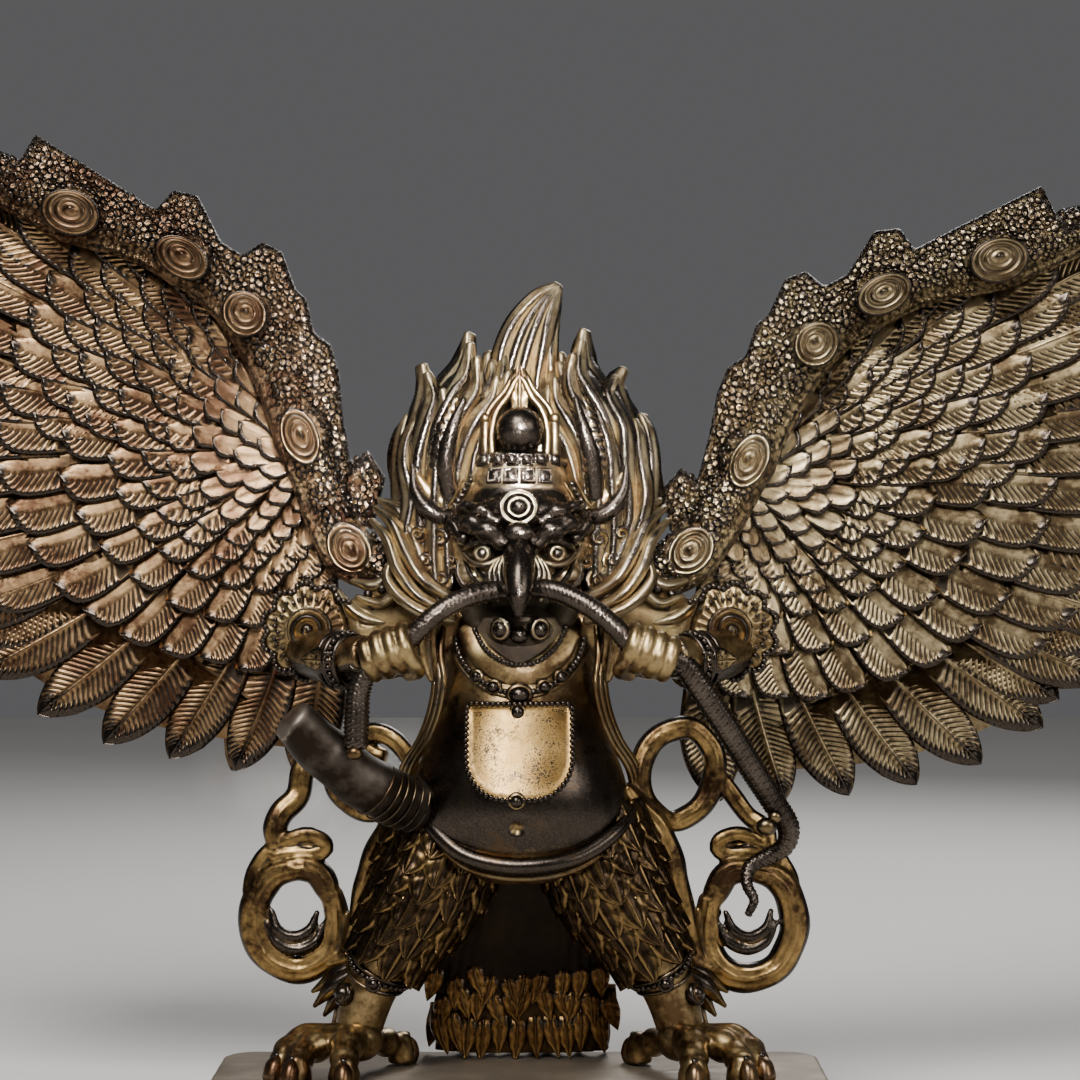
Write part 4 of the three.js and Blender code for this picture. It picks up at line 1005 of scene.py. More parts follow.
def torso():
    """The trunk, arms and legs in one skin, with a navel, gilt on the belly, and painted shade at the throat
    and over the upper arms
    """
    forms = [tube(TORSO_LINE[:-1] - (0, 0, 0.2), eased(TORSO_WIDTHS[:-1]), eased(TORSO_DEPTHS[:-1]), sides=44,
                  count=60)]
    for side in SIDES:
        limbs = [bead((9.6, 1.6, 57.4), (6, 7.2, 5), 24, 14)]
        limbs.append(tube(ARM_LINE, ARM_RADII, sides=24, count=46))
        limbs.append(bead((23.6, -0.6, 55.6), (3.6, 3.6, 4.4), 20, 12))
        limbs.append(tube(LEG_LINE, LEG_RADII, sides=28, count=40))
        limbs.append(tube([[6, 5, 27], [11, 4.6, 24], [13.6, 2, 19]], [5.4, 4.6, 3], sides=20, count=20))
        forms += [limb.on(side) for limb in limbs]
    skin = clay(forms, voxel=BODY_SKIN, rounds=4)
    dent(skin, (-0.3, -15, 32), (0.9, 6, 0.8), 0.9)
    x, y, z = skin.points.T
    belly = smooth((z - 27) / 3) * smooth((50 - z) / 5) * smooth((-y - 4) / 4) * (np.abs(x) < 15)
    flank = smooth((np.abs(x) - 8) / 4) * smooth((46 - z) / 8)
    under = smooth((-skin.normals()[:, 2] - 0.1) / 0.4) * smooth((z - 48) / 3) * smooth((np.abs(x) - 12) / 4)
    # throat is the hollow under the beak and shaded the upper arms under the hair: both are made darker with
    # painted shade
    throat = smooth((z - 52 - 0.13 * x * x) / 0.5) * smooth((-y - 3) / 2) * (np.abs(x) < 6)
    shaded = smooth((np.abs(x) - 9) / 2) * smooth((z - 50) / 3) * smooth((y + 9) / 3)
    skin.rubbed_and_shaded = 0.42 * belly * (0.65 + 0.35 * flank) + 0.4 * under - 0.6 * throat - 0.1 * shaded
    return skin


# The legs' own surface, for what is laid round them

def leg_place(run, turn, proud=0.0):
    """Places on the left leg: run down it in shares, turn round it from outside by way of the front"""
    centres, ways, places, even = route(LEG_LINE, 120)
    run, turn, proud = np.broadcast_arrays(np.asarray(run, float), turn, proud)
    centre = read_off(run, even, centres) + np.minimum(run, 0)[..., None] * ways[0]
    way = unit(read_off(run, even, ways))
    radius = stations(LEG_RADII, np.interp(run, even, places)) + proud
    side = unit(np.cross(FRONT, way))
    normal = np.cross(way, side)
    return centre + radius[..., None] * wheel(turn, side, normal)


def leaf(place, length, half, thick=0.5, lift=0.5, veins=4, point=1.7, rub=0.15, ground=0.0):
    """A closed leaf or short feather with a vein and slanting strokes. Place turns its own run, across and
    height into points."""
    steps = (np.arange(veins)[:, None] + STROKE_PHASES).ravel() / veins
    share = np.concatenate([[0], 0.08 + 0.8 * steps, [0.92, 0.97, 1.0]])
    cut = np.concatenate([[0], np.tile(STROKE_DEPTHS, veins), [0, 0, 0]])[:, None]
    over = np.array([-1, -0.84, -0.66, -0.5, -0.32, -0.12, 0, 0.12, 0.32, 0.5, 0.66, 0.84, 1])[None, :]
    run = share[:, None] + 0.2 * (smooth(share / 0.25) * smooth((1 - share) / 0.25))[:, None] * np.abs(over)
    beyond = np.clip((run - 0.45) / 0.55, 0, 1)
    swell = 0.72 + 0.28 * smooth(run / 0.45)
    outline = np.where(beyond > 0, np.clip(1 - beyond ** point, 0, 1) ** 0.8, swell)
    dome = domed(np.abs(over), 3)
    vein = (hump(over, 0, 0.09) + 0.6 * hump(np.abs(over), 0.5, 0.12) * smooth(run / 0.3)
            + 0.8 * hump(np.abs(over), 0.86, 0.08))
    vane = smooth((np.abs(over) - 0.08) / 0.12) * smooth((1 - np.abs(over)) / 0.15) * smooth((1 - run) / 0.1)
    height = thick * (dome * (0.7 + 0.5 * vein) + 0.3 * cut * vane) + lift * run ** 1.5
    across = half * over * np.maximum(outline, 0.04)
    front = place(length * run, across, height)
    rims = [0, -1]
    back = place(length * run[:, rims], across[:, rims], lift * run[:, rims] ** 1.5 - 0.45)[:, ::-1]
    wear_and_shade = rub * smooth((run - 0.7) / 0.3) * dome - 0.12 * smooth((0.35 - run) / 0.3)
    return backed(front, back, wear_and_shade + ground * (1 - 2 * np.clip(vein, 0, 1)), -0.25)


THIGH_ROWS = 6
THIGH_ROW_STEP = 2.9
THIGH_FEATHER = (6.3, 2.2)


def thigh_feathers():
    """Rows of leaf-shaped feathers round the thigh, each row over the one below it"""
    forms = []
    length, half = THIGH_FEATHER
    for row in range(THIGH_ROWS):
        start = -1.6 + THIGH_ROW_STEP * row
        radius = float(np.interp(start + 3, [0, 8, 16], LEG_RADII[:3]))
        count = max(7, round(2 * math.pi * radius / (1.5 * half)))
        for j in range(count):
            middle = 2 * math.pi * (j + 0.5 * (row % 2) + 0.12 * chance.uniform(-1, 1)) / count
            behind = math.sin(middle) < -0.75
            stand = 0.3 + 0.05 * (THIGH_ROWS - row)

            def place(along, across, height):
                turn = middle + across / (radius * 0.95)
                return leg_place(start + along, turn, stand + height)

            longer = length * chance.uniform(0.94, 1.1)
            forms.append(leaf(place, longer, half, 0.62, 0.8, 2 if behind else 3, 2.1, 0.02, -0.11))
    return forms


def hung(turn):
    """How far a string hangs down at a turn round the leg, in parts of its sag, from its ends at the sides"""
    return 1 - ((turn - np.pi / 2) / (np.pi / 2)) ** 2


def swag(run, sag, count, size):
    """A string of beads hung round the front of the shin"""
    turn = np.linspace(0.1, 3.0, count)
    return strung(leg_place(run + sag * hung(turn), turn, 0.25), size)


BUTTON = [(1, -0.3), (1, 0.25), (0.82, 0.42), (0.7, 0.3), (0.6, 0.5), (0.4, 0.75), (0.05, 0.85)]


def greaves():
    """Two strings of beads between cords round the shin, with three buttons"""
    forms = [swag(15.4, 1.6, 17, 0.42), swag(19.2, 1.3, 15, 0.42)]
    turn = np.linspace(-0.4, 3.5, 30)
    for run, height in ((14.7, 0.2), (16.2, 0.15), (18.5, 0.2), (20.2, 0.15)):
        line = leg_place(run + 1.4 * hung(turn), turn, height)
        forms.append(tube(line[::3], 0.28, count=40, sides=8))
    for run, around, radius, rub in ((17.3, 1.5, 0.85, 0.1), (20.8, 1.6, 1.05, 0.45), (23.2, 0.6, 1.5, 0.2)):
        here, out = leg_place(run, around, 0.2), leg_place(run, around, 1.2)
        forms.append(turned(here, BUTTON, out - here, 20, size=radius, rubbed_and_shaded=rub))
    return forms


SPUR = np.array([[20.4, -2.4, 12.8], [25.4, -2.2, 8.4]])


def ridges(height, number):
    """A relief of even ridges along a limb"""
    return lambda run, turn: height * np.cos(number * turn)


def spurs():
    """The tuft that stands out behind the ankle"""
    forms = []
    for j, (dx, dz) in enumerate(((0, 0), (-1.2, -1.2), (-2.2, -2.6), (0.3, 1.6))):
        root, tip = SPUR[0] + (-0.4 * j, 0.3 * j, dz * 0.6), SPUR[1] + (dx, 0.4 * j, dz)
        line = [root, (root + tip) / 2 + (0.5, -0.4, 0.2), tip + (0.4, 0, 0)]
        forms.append(tube(line, [0.9, 1.25, 0.25], [0.9, 0.9, 0.25], sides=14, count=14,
                          relief=ridges(0.1, 5)))
    return forms


TOES = [
    # points and half-width of each toe, in front, outside and behind
    ([[20, -5, 5], [21.4, -11, 4.4], [21.4, -14.4, 2.6]], 2.1),
    ([[20.6, -5, 5], [26.2, -9.6, 4.1], [27.4, -13, 2.6]], 2.1),
    ([[20.8, -4.4, 5], [27.6, -7.6, 4.4], [29.3, -10.8, 3.2]], 2.15),
    ([[19, -3.4, 4], [16.6, 0.6, 3], [15.2, 2.2, 1.9]], 1.8),
]


def feet():
    """Clawed toes with swollen joints, each with a ridged claw and a small knob at its root"""
    flesh, claws = [bead((20.2, -5.6, 4.6), (3.2, 2.8, 3.4), 18, 12)], []
    for points, half in TOES:
        points = np.array(points)
        flesh.append(tube(points, half * np.array([0.95, 0.85, 1.08, 0.8, 0.92, 0.7]), sides=16, count=26))
        flat = unit(unit(points[2] - points[1]) * (1, 1, 0.2))
        foot = points[2] * (1, 1, 0)
        flesh.append(tube([foot + (0, 0, high) for high in (0.4, 2, 3.4)],
                          half * np.array([0.98, 0.95, 0.72]), sides=16, count=14, ends=(0.2, 0.9)))
        claw = [foot + flat * half * out + (0, 0, high)
                for out, high in ((0.35, 3.4), (0.8, 2.6), (1.02, 1.4), (0.95, 0.3))]
        claws.append(tube(claw, half * np.array([0.3, 0.52, 0.56, 0.4]), sides=16, count=18, ends=(0.3, 0.1),
                          relief=ridges(0.06, 4)))
        claws.append(bead(foot + flat * half * 0.62 + (0, 0, 3.9), (0.42, 0.42, 0.3), 10, 6, axis=flat + UP,
                          rubbed_and_shaded=0.3))
    return flesh, claws


TAIL_LINE = np.array([[0.2, 2.4, 27], [0.2, 5.6, 15], [0.2, 7.8, 6], [0.2, 8.8, 1]])
TAIL_WIDTHS, TAIL_DEPTHS = [8, 10.4, 11.4, 11.4], [2.6, 2.2, 2, 1.8]


TAIL_ROWS = [
    # height of the leaves' upper ends, leaves in each row, their length and half-width
    (12.4, 10, 5, 1.35), (9.6, 11, 5, 1.4), (6.4, 11, 6.2, 1.35),
]
TAIL_MIDDLE = 0.2


def tail():
    """The fluted tail, and the rows of leaves at its foot, in front and behind"""
    def flutes(run, turn):
        return 0.16 * np.cos(2 * np.pi * (6.5 * np.cos(turn) + 0.25 * np.sin(run * 0.5))) * smooth(run / 3)

    body = tube(TAIL_LINE, TAIL_WIDTHS, TAIL_DEPTHS, sides=96, count=34, square=2.6, relief=flutes,
                ends=(0.5, 0.2))
    # The tail is made darker all over, and darker still above a height of 9 shares: the extra darkening of
    # its upper part is painted shade
    body.rubbed_and_shaded = np.where(body.points[:, 2] > 9, -0.3, -0.15)
    forms = []
    for row, (top, count, length, half) in enumerate(TAIL_ROWS):
        places = np.interp(np.arange(count) + 0.5 * (row % 2), [0, count - 0.5], [-11, 11])
        for front, even in ((face, at) for face in (-1, 1) for at in places):
            across = even + 0.25 * chance.uniform(-1, 1)
            low = chance.uniform(-1.0, 0.9)
            bend = chance.uniform(-1.5, 1.5)

            def place(along, offset, height):
                z = top + low - along
                centre = np.interp(z, TAIL_LINE[::-1, 2], TAIL_LINE[::-1, 1])
                from_middle = across + offset + bend * (along / length) ** 2
                depth = 1.75 * np.sqrt(np.clip(1 - (np.abs(from_middle) / 13) ** 2.6, 0.02, 1))
                y = centre + front * (depth + height + 0.1 * row - 1.3 * smooth(1 - along))
                return np.stack([TAIL_MIDDLE + from_middle, y, np.maximum(z, 0.15)], -1)

            forms.append(leaf(place, length, half, 0.8, 0.45, 3 if front < 0 else 2, 1.4, 0.06, -0.06))
    return body, forms


# Scarves

RIBBONS = [
    # half-width and path of each band, at the figure's left and then at its right
    (1.5, [[18.8, -0.6, 31.6], [15.9, -1.1, 34.2], [15.4, -0.6, 38.6], [17.9, 0.6, 42.3], [22, 1.4, 43.1],
           [24.7, 1.9, 40.1], [24.6, 1.7, 35.9], [22.4, 0.8, 32.6], [19.6, 0.1, 31.4],
           [17.2, -0.6, 32.4]]),
    (1.2, [[24.2, 2.2, 39], [27.2, 2.2, 34.5], [29.2, 1.7, 32], [31.3, 0.8, 30.2], [32, 0.3, 27.6]]),
    (1.0, [[31.6, 0.4, 28.2], [29.8, -0.2, 29.2], [27.6, -0.3, 29.8], [25.4, -0.4, 29.1], [25.1, -0.4, 27.9],
           [26.9, -0.5, 27.2], [29.1, -0.5, 27.4], [31.6, -0.4, 27]]),
    (1.2, [[31.8, 0.4, 28.4], [33.4, 0.2, 26], [34.9, 0.2, 22.6]]),
    (1.9, [[28.6, -0.8, 25.4], [32.4, -0.3, 24.4], [34.6, 0, 21], [34.8, 0, 16.9], [32.8, 0, 13],
           [28.9, 0, 11.4], [25, 0, 13.2], [23.6, 0, 17.4], [24.2, -0.6, 21.6]]),
    (1.7, [[30, -0.7, 25.4], [26.4, -0.8, 24.8], [24.2, -0.6, 21]]),
    (1.9, [[13, -3.2, 35.6], [17.7, -2.8, 29.9], [19.5, -2.2, 24.2], [20.6, -1.7, 19], [21.6, -0.8, 14.5],
           [24.6, 0, 12.6]]),
    (1.25, [[-13.2, 0.2, 35.4], [-13.9, 0.8, 38.8], [-16, 1.6, 41.6], [-19.2, 2.2, 42.6], [-22.4, 2.6, 41.2],
            [-24, 2.6, 38.2], [-23.6, 2.4, 35.2], [-21.4, 1.6, 33], [-18.6, 0.8, 32.3], [-15.2, 0, 33.4]]),
    (1.6, [[-17.6, 2.4, 39.4], [-22.6, 3.6, 40.6], [-27.6, 2.8, 38.3], [-28.4, 2.2, 34.5], [-30.4, 1.1, 32.5],
           [-31.2, 0.6, 30.4], [-31.2, 0.4, 28.2]]),
    (1.0, [[-31.3, 0.4, 28.1], [-29.5, -0.2, 29.1], [-27.2, -0.3, 29.7], [-25, -0.4, 29], [-24.6, -0.4, 27.9],
           [-26.4, -0.5, 27.2], [-28.6, -0.5, 27.4], [-31.2, -0.4, 26.9]]),
    (1.2, [[-31.4, 0.4, 28.2], [-33.2, 0.2, 25.8], [-34.6, 0.2, 22.4]]),
    (1.9, [[-27.2, -0.8, 25.7], [-31.6, -0.3, 24.3], [-33.6, 0, 21], [-33.9, 0, 17.4], [-31.8, 0, 13.9],
           [-28.2, 0, 12.6], [-24.6, 0, 14.2], [-23.2, 0, 18], [-24, -0.6, 22.4]]),
    (1.7, [[-29.4, -0.7, 25.6], [-26, -0.8, 25.2], [-24, -0.6, 21.8]]),
    (1.9, [[-12.8, -3.2, 35], [-17, -2.8, 29.3], [-19, -2.2, 24.2], [-20, -1.7, 19], [-21.3, -0.8, 14.8],
           [-24, 0, 13.4]]),
]
INNER_LIPS = [
    # the crescents inside the large rings
    (0.75, [[31.9, -0.7, 20], [31.2, -1, 17.8], [29.2, -1.1, 16.8], [27.2, -1, 17.6], [26.2, -0.7, 19.8]]),
    (0.65, [[32.6, -0.9, 18.6], [31.2, -1.3, 16.2], [28.9, -1.4, 15.2], [26.4, -1.3, 16.2],
            [25.4, -0.9, 18.4]]),
    (0.75, [[-31.5, -0.7, 20], [-30.8, -1, 17.8], [-28.8, -1.1, 16.8], [-26.8, -1, 17.6],
            [-25.8, -0.7, 19.8]]),
    (0.65, [[-32.2, -0.9, 18.6], [-30.8, -1.3, 16.2], [-28.5, -1.4, 15.2], [-26, -1.3, 16.2],
            [-25, -0.9, 18.4]]),
]


def scarves():
    """Rolled bands with two soft grooves along their face, merged where they meet"""
    def grooved(half):
        def relief(run, turn):
            across = np.cos(turn)
            groove = hump(across, 0.36, 0.18) + 0.8 * hump(across, -0.3, 0.16)
            swell = 0.04 * np.sin(run * 1.1 + 2 * across)
            return half * (swell - 0.22 * np.abs(np.sin(turn)) ** 4 * groove)
        return relief

    forms = []
    for half, points in RIBBONS:
        count = int(run_of(points)[-1] * 2.2) + 6
        forms.append(tube(points, half * np.array([0.75, 1, 1.04, 0.98, 1.04, 1, 0.75]), half * 0.9, sides=30,
                          count=count, ends=(0.6, 0.6), relief=grooved(half)))
    for half, points in INNER_LIPS:
        forms.append(tube(points, [half * 0.5, half, half * 1.1, half, half * 0.5], sides=12, count=34))
    skin = clay(forms, voxel=0.26, rounds=1)
    lines = [(half, path_of(points, 40)) for half, points in RIBBONS]
    away = np.min([np.min(np.hypot(skin.points[:, :1] - line[:, 0], skin.points[:, 2:] - line[:, 2])
                          + 3 * smooth((np.abs(skin.points[:, 1:2] - line[:, 1]) - 3) / 2), 1) / half
                   for half, line in lines], axis=0)
    skin.rubbed_and_shaded = 0.34 * smooth((away - 0.66) / 0.2) - 0.03
    return skin


# The stub at the figure's right hip

STUB_LINE = np.array([[-8.6, -3.3, 32.9], [-14.8, -8.9, 34.9], [-19, -12.2, 37.4], [-23.7, -14.4, 41.3],
                      [-27.6, -16, 45.2]])
STUB_RADII = [3.4, 3.4, 3.4, 3.3, 2.7]
STUB_FACETS = [((-0.62, -0.3, 0.72), 1.1), ((-0.85, -0.52, 0.05), 1.4), ((-0.1, -0.2, 0.97), 1.9),
               ((-0.7, 0.5, 0.5), 1.6)]


def stub():
    """The blunt dark stub, its end cut off in flat facets"""
    form = tube(STUB_LINE, STUB_RADII, sides=48, count=70, ends=(0.4, 0.9),
                relief=lambda run, turn: 0.1 * np.sin(run * 0.9 + turn), rubbed_and_shaded=-0.04)
    for way, reach in STUB_FACETS:
        way = unit(np.array(way))
        beyond = (form.points - STUB_LINE[-1]) @ way - reach
        form.points -= np.maximum(beyond, 0)[:, None] * way
        form.rubbed_and_shaded = form.rubbed_and_shaded + np.where(beyond > 0, 0.3, 0)
    return form


def stub_threads():
    """Fine gilt lines laid round the stub"""
    centres, ways, places, even = route(STUB_LINE, 120)
    forms = []
    for at in np.linspace(2.8, 12.6, 9):
        turn = np.linspace(-0.9, 2.9, 16)
        run = at + 0.5 * np.sin(turn + 0.4) + 0.15 * chance.uniform(-1, 1)
        centre, way = (read_off(run, even, values) for values in (centres, ways))
        side = unit(np.cross(FRONT, way))
        out = wheel(turn, side, np.cross(unit(way), side))
        radius = stations(STUB_RADII, np.interp(run, even, places)) + 0.15
        forms.append(tube(centre + radius[:, None] * out, [0.08, 0.14, 0.14, 0.08], sides=6, count=34))
    return forms


# The serpent

SNAKE_LINE = np.array([
    [-19.8, -16.7, 42.2], [-19.7, -16.7, 46], [-19.4, -16.7, 49.2], [-17.8, -16.9, 52.2], [-15, -17.2, 53.9],
    [-12.9, -17.8, 55.6], [-10.2, -17.8, 58.1], [-7.2, -16.9, 59.9], [-3.8, -15.3, 60.9], [0.1, -13.6, 61.2],
    [4, -15.3, 61.1], [8.6, -16.9, 59.1], [11.6, -17.5, 56.7], [13.7, -17.5, 54.5], [16.5, -17.2, 53.3],
    [19.6, -16.7, 52.4], [22.1, -15.6, 49.2], [25.3, -13.3, 44.5], [28.5, -10.6, 39.4], [31.5, -7.8, 34.8],
    [33.7, -5.8, 31.1], [33.3, -4.6, 28.7], [31.3, -4.2, 27.4], [29, -4.8, 26.2], [28.5, -6.1, 24.1],
    [29.3, -6.9, 22.2], [28.6, -7.2, 20.6],
])
SNAKE_GIRTH = [
    1.1, 1.15, 1.1, 1, 1, 1, 0.95, 0.95, 0.95, 0.9, 0.95, 1, 1, 1, 1.1, 1.15, 1.2, 1.25, 1.2, 1.15, 1.05, 0.9,
    0.8, 0.65, 0.5, 0.4, 0.3,
]
SNAKE_RADIUS = 1.26


def snake():
    """The serpent, with scales that are shallower where it runs past the beak"""
    def scales(run, turn):
        row = run / 0.55
        offset = turn * 7 / (2 * np.pi)
        diamond = np.abs(np.cos(np.pi * (row + offset))) * np.abs(np.cos(np.pi * (row - offset)))
        total = float(np.max(run))
        strength = 0.55 + 0.45 * (smooth((0.12 * total - run) / 4) + smooth((run - 0.47 * total) / 4))
        rings = hump((run - 0.275 * total) % 1.1, 0.55, 0.2) * (np.abs(run - 0.285 * total) < 2.6)
        return strength * 0.36 * (diamond ** 0.6 - 0.5) + 0.1 * rings

    return tube(SNAKE_LINE, SNAKE_RADIUS * np.array(SNAKE_GIRTH), sides=28, count=620, ends=(0.5, 0.4),
                relief=scales, facing=np.array([0, -1, 0.02]))


# Hair: fluted locks of flame about the head, in layers from the front to the back

HAIR_LOCKS = {
    # half-width and path of each lock as seen from the front, from the side of the head up to its tip
    -1: [
        (1.0, [(-14, 62), (-15, 67), (-15.1, 72.5), (-15.2, 77.6), (-14.9, 81), (-14.3, 83)]),
        (1.25, [(-12.6, 62), (-13.4, 69), (-13.5, 77), (-12.7, 83), (-11.9, 86.4), (-12.3, 89.4)]),
        (1.3, [(-11.4, 66), (-11.8, 78), (-11, 83), (-9.2, 86.8), (-7, 89.4), (-6.6, 93.4)]),
        (1.2, [(-10, 76), (-9, 82), (-6.6, 85.8), (-4.4, 88.2), (-3.9, 91)]),
        (1.15, [(-8, 78), (-6.6, 82.4), (-4.4, 85.6), (-2.8, 89), (-2.1, 91.6)]),
    ],
    1: [
        (1.0, [(14.6, 62), (16, 67), (16.5, 72.5), (16.7, 77.6), (16.2, 81), (15.4, 83)]),
        (1.25, [(13.2, 62), (14.4, 70), (14.6, 76), (13.6, 82), (12.4, 85.4), (12.2, 87.2), (13.2, 88.9)]),
        (1.3, [(12, 66), (12.4, 78), (11.4, 83.2), (9.6, 87), (8.1, 89.2), (7.7, 91.4), (8.1, 93.8)]),
        (1.2, [(10.4, 76), (9.4, 82), (7.4, 85.8), (5.7, 88), (5.2, 90.8)]),
        (1.15, [(8.6, 78), (7.2, 82.4), (5.4, 85), (4.4, 87.6), (4.2, 89.6)]),
    ],
}
CROWN_LOCKS = [
    # the strands of the tall middle flame
    (1.0, [(-4.6, 77), (-4, 82), (-3, 87), (-2, 92), (-0.2, 95.6), (2.4, 98.4), (4.5, 99.7)]),
    (1.15, [(-3, 80), (-2, 86), (-0.7, 91), (1, 94.8), (3, 97.8), (4.7, 99.6)]),
    (1.15, [(-0.6, 82), (0, 87), (0.9, 91.4), (2.2, 94.8), (3.6, 97.6), (4.9, 99.5)]),
    (1.05, [(2, 82), (2.2, 87), (2.7, 91), (3.4, 94.6), (4.3, 97.4), (5, 99.3)]),
    (0.9, [(4.6, 80), (4.2, 85), (3.8, 89), (4, 93), (4.6, 96.4)]),
]
HAIR_LAYERS = [
    # share of the front outline, depth at the root, in the middle and at the tip, and strength of the wave
    (1.0, (-2.2, -1.6, 0.2), 0.0), (0.93, (-4.4, -4.4, -2.4), 0.35), (1.0, (2.4, 2.6, 1.6), 0.4),
    (0.88, (5.2, 5.4, 3.4), 0.7),
]
HAIR_FOOT = np.array([0.2, 72.0])


def lock(path, depths, half, share=1.0, wave=0.0, count=34, sides=14):
    """A lock of gathered strands along a path seen from the front, closing to its tip"""
    flat = HAIR_FOOT + (np.array(path) - HAIR_FOOT) * share
    flat[:, 0] += wave * np.sin(flat[:, 1] * 0.55 + 2 * len(path))
    y = np.interp(np.linspace(0, 1, len(flat)), [0, 0.5, 1], depths)
    line = np.stack([flat[:, 0], y, flat[:, 1]], 1)

    def strands(run, turn):
        ridges = np.cos(4 * turn + 0.5 * np.sin(run * 0.5))
        return 0.2 * half * ridges * smooth((np.max(run) - run) / 3)

    widths = half * np.array([1.0, 1.05, 1.1, 1.05, 0.85, 0.5])
    return tube(line, widths, widths * 0.85, sides=sides, count=count, ends=(0.3, 0.4), relief=strands)


def hair():
    """Strands that rise from the sides of the head to the rim's tips, in layers from the front to the back"""
    forms = [bead((0.3, 1, 78), (13.4, 9.6, 4.2), 32, 20), bead((0.4, 1, 69), (13.6, 8, 4.4), 32, 16)]
    for layer, (share, depths, wave) in enumerate(HAIR_LAYERS):
        for side in SIDES:
            for half, path in HAIR_LOCKS[side]:
                wider, count, sides = (1.0, 34, 14) if layer < 2 else (1.25, 22, 12)
                forms.append(lock(path, depths, half * wider, share, wave, count, sides))
        if layer != 1:
            for half, path in CROWN_LOCKS:
                forms.append(lock(path, depths, half, share, wave * 0.5, 38))
    for side in SIDES:
        for half, path in HAIR_LOCKS[side][1:]:
            inner = [(x * 0.8 + 0.1, z - 3.4) for x, z in path]
            forms.append(lock(inner, (-5.4, -5.6, -4.4), half * 0.85, 1.0, 0.2, 30))
            behind = [(x * 0.45, z - 1.5) for x, z in path]
            forms.append(lock(behind, (5.6, 6.2, 4.6), half * 1.4, 0.92, 0.5, 22, 12))
    for x in np.linspace(-5.2, 5.8, 5):
        nape = [(x * 1.1, 59), (x * 1.1, 66), (x, 74), (x * 0.8, 81), (x * 0.5, 87)]
        forms.append(lock(nape, (4.4, 7.4, 4.6), 1.7, 1.0, 0.3, 26, 12))
    return forms


TUFTS = [
    # widths along a strand, height of its ridges, rings along it, and the half-width and path of each strand:
    # the flames beside the face, and the ribbons behind them
    ([0.8, 1, 1.05, 0.9, 0.4], 0.1, 36, [
        (0.95, [(8.6, -6, 60), (12.2, -6.4, 62.4), (14.4, -5.6, 66), (16, -4.4, 69.4), (18.2, -2.6, 71.2)]),
        (0.95, [(9, -5, 61.6), (12, -5.4, 64.6), (13.6, -4.6, 68), (15.4, -3.4, 71), (17.6, -2, 72.2)]),
        (0.8, [(9, -6.4, 58.2), (12.8, -7, 60.4), (15.2, -6.4, 63.6), (16.6, -5.2, 67.4),
               (18.6, -3.4, 69.6)]),
        (0.7, [(8.4, -6.6, 57.2), (12, -7.4, 58.2), (15, -7, 60.2), (16.6, -6.2, 62.6), (16.2, -5.6, 64.6)]),
    ]),
    ([0.4, 1, 1.1, 1, 0.5], 0.07, 34, [
        (0.62, [(12.6, -3, 59.4), (13.9, -3.6, 61), (15.6, -3.8, 60.6), (17.6, -3.6, 59.2),
                (20.4, -2.6, 60)]),
        (0.7, [(13.6, -1.4, 62.4), (16, -2.2, 62.6), (18.6, -2.4, 61.4), (21, -1.4, 62)]),
        (0.6, [(17.4, -3.6, 56.9), (19.6, -3.4, 57.4), (21.6, -2.6, 58.8), (22.9, -1.6, 60.6)]),
    ]),
]
TUFT_BEADS = [(17.4, -2.6, 61, 0.7), (19.2, -2.4, 60.4, 0.6), (18.6, -3, 58.8, 0.55)]


def tufts():
    """The flames beside the face, swept up and out from behind the cheek in parallel strands"""
    forms = [tube(path, half * np.array(widths), sides=14, count=count, relief=ridges(height, 4))
             for widths, height, count, strands in TUFTS for half, path in strands]
    return both(forms + [bead(place, radius, 12, 7, 0.3) for *place, radius in TUFT_BEADS])


# Head and face

EYES = [(-4.45, -9.9, 65.6), (4.55, -9.9, 65.6)]
EYE_RADIUS = 1.35
THIRD_EYE = (-0.05, -11.6, 71.3)


SKULL_BALLS = [
    # centre, radii, points round and rings of each ball of clay: crown, diadem's bed, brow, throat and mouth
    ((0.1, -2.6, 69.4), (8.2, 9, 8.2), 36, 24), ((0.1, -5.2, 74.6), (6, 4.2, 4.6), 28, 18),
    ((0.1, -8.2, 70.6), (5.4, 3, 3.6), 24, 14), ((0, -5, 56), (4.8, 3.2, 4), 28, 16),
    ((0, -8.4, 64.6), (4.6, 3.6, 2.6), 28, 16),
]
CHEEK_BALLS = [
    # the same for one side: cheek, temple, eye's bed, nostril, chin and jaw
    ((5.6, -6.8, 63), (2.5, 1.9, 2.3), 20, 12), ((6.4, -6, 67), (2.4, 3.4, 3), 20, 12),
    ((4.8, -8.8, 68.8), (3.2, 2, 2.2), 20, 12), ((2.4, -10, 62.2), (1.5, 2, 2.2), 20, 12),
    ((2, -7.6, 56), (1.7, 1.5, 2.2), 18, 12), ((5.4, -4.6, 58.6), (2, 2.8, 2.6), 18, 12),
]


def skull():
    """The head and neck in one skin, with hollows for the eyes and the throat"""
    forms = [bead(*ball) for ball in SKULL_BALLS] + both([bead(*ball) for ball in CHEEK_BALLS])
    forms.append(tube([[0, -1, 64], [0, -1.6, 55]], 5.2, sides=28))
    skin = clay(forms, voxel=0.24, rounds=3)
    for eye in EYES:
        dent(skin, np.array(eye) + (0, 0.6, 0.1), (2.3, 3, 1.7), 1.7)
    dent(skin, (0.1, -9, 59), (4.4, 5, 2.2), 3.2)
    x, y, z = skin.points.T
    brow = smooth((z - 66.4) / 1) * smooth((75 - z) / 2) * smooth((-y - 6.5) / 2)
    # hollow is the mouth's hollow under the beak: it, and the face below a height of 61 shares, are made
    # darker with painted shade
    hollow = smooth((61.6 - z) / 1.2) * smooth((-y - 1) / 3) * smooth((8 - np.abs(x)) / 2)
    skin.rubbed_and_shaded = 0.34 * brow - 0.6 * hollow - 0.12 * smooth((61 - z) / 3)
    return skin


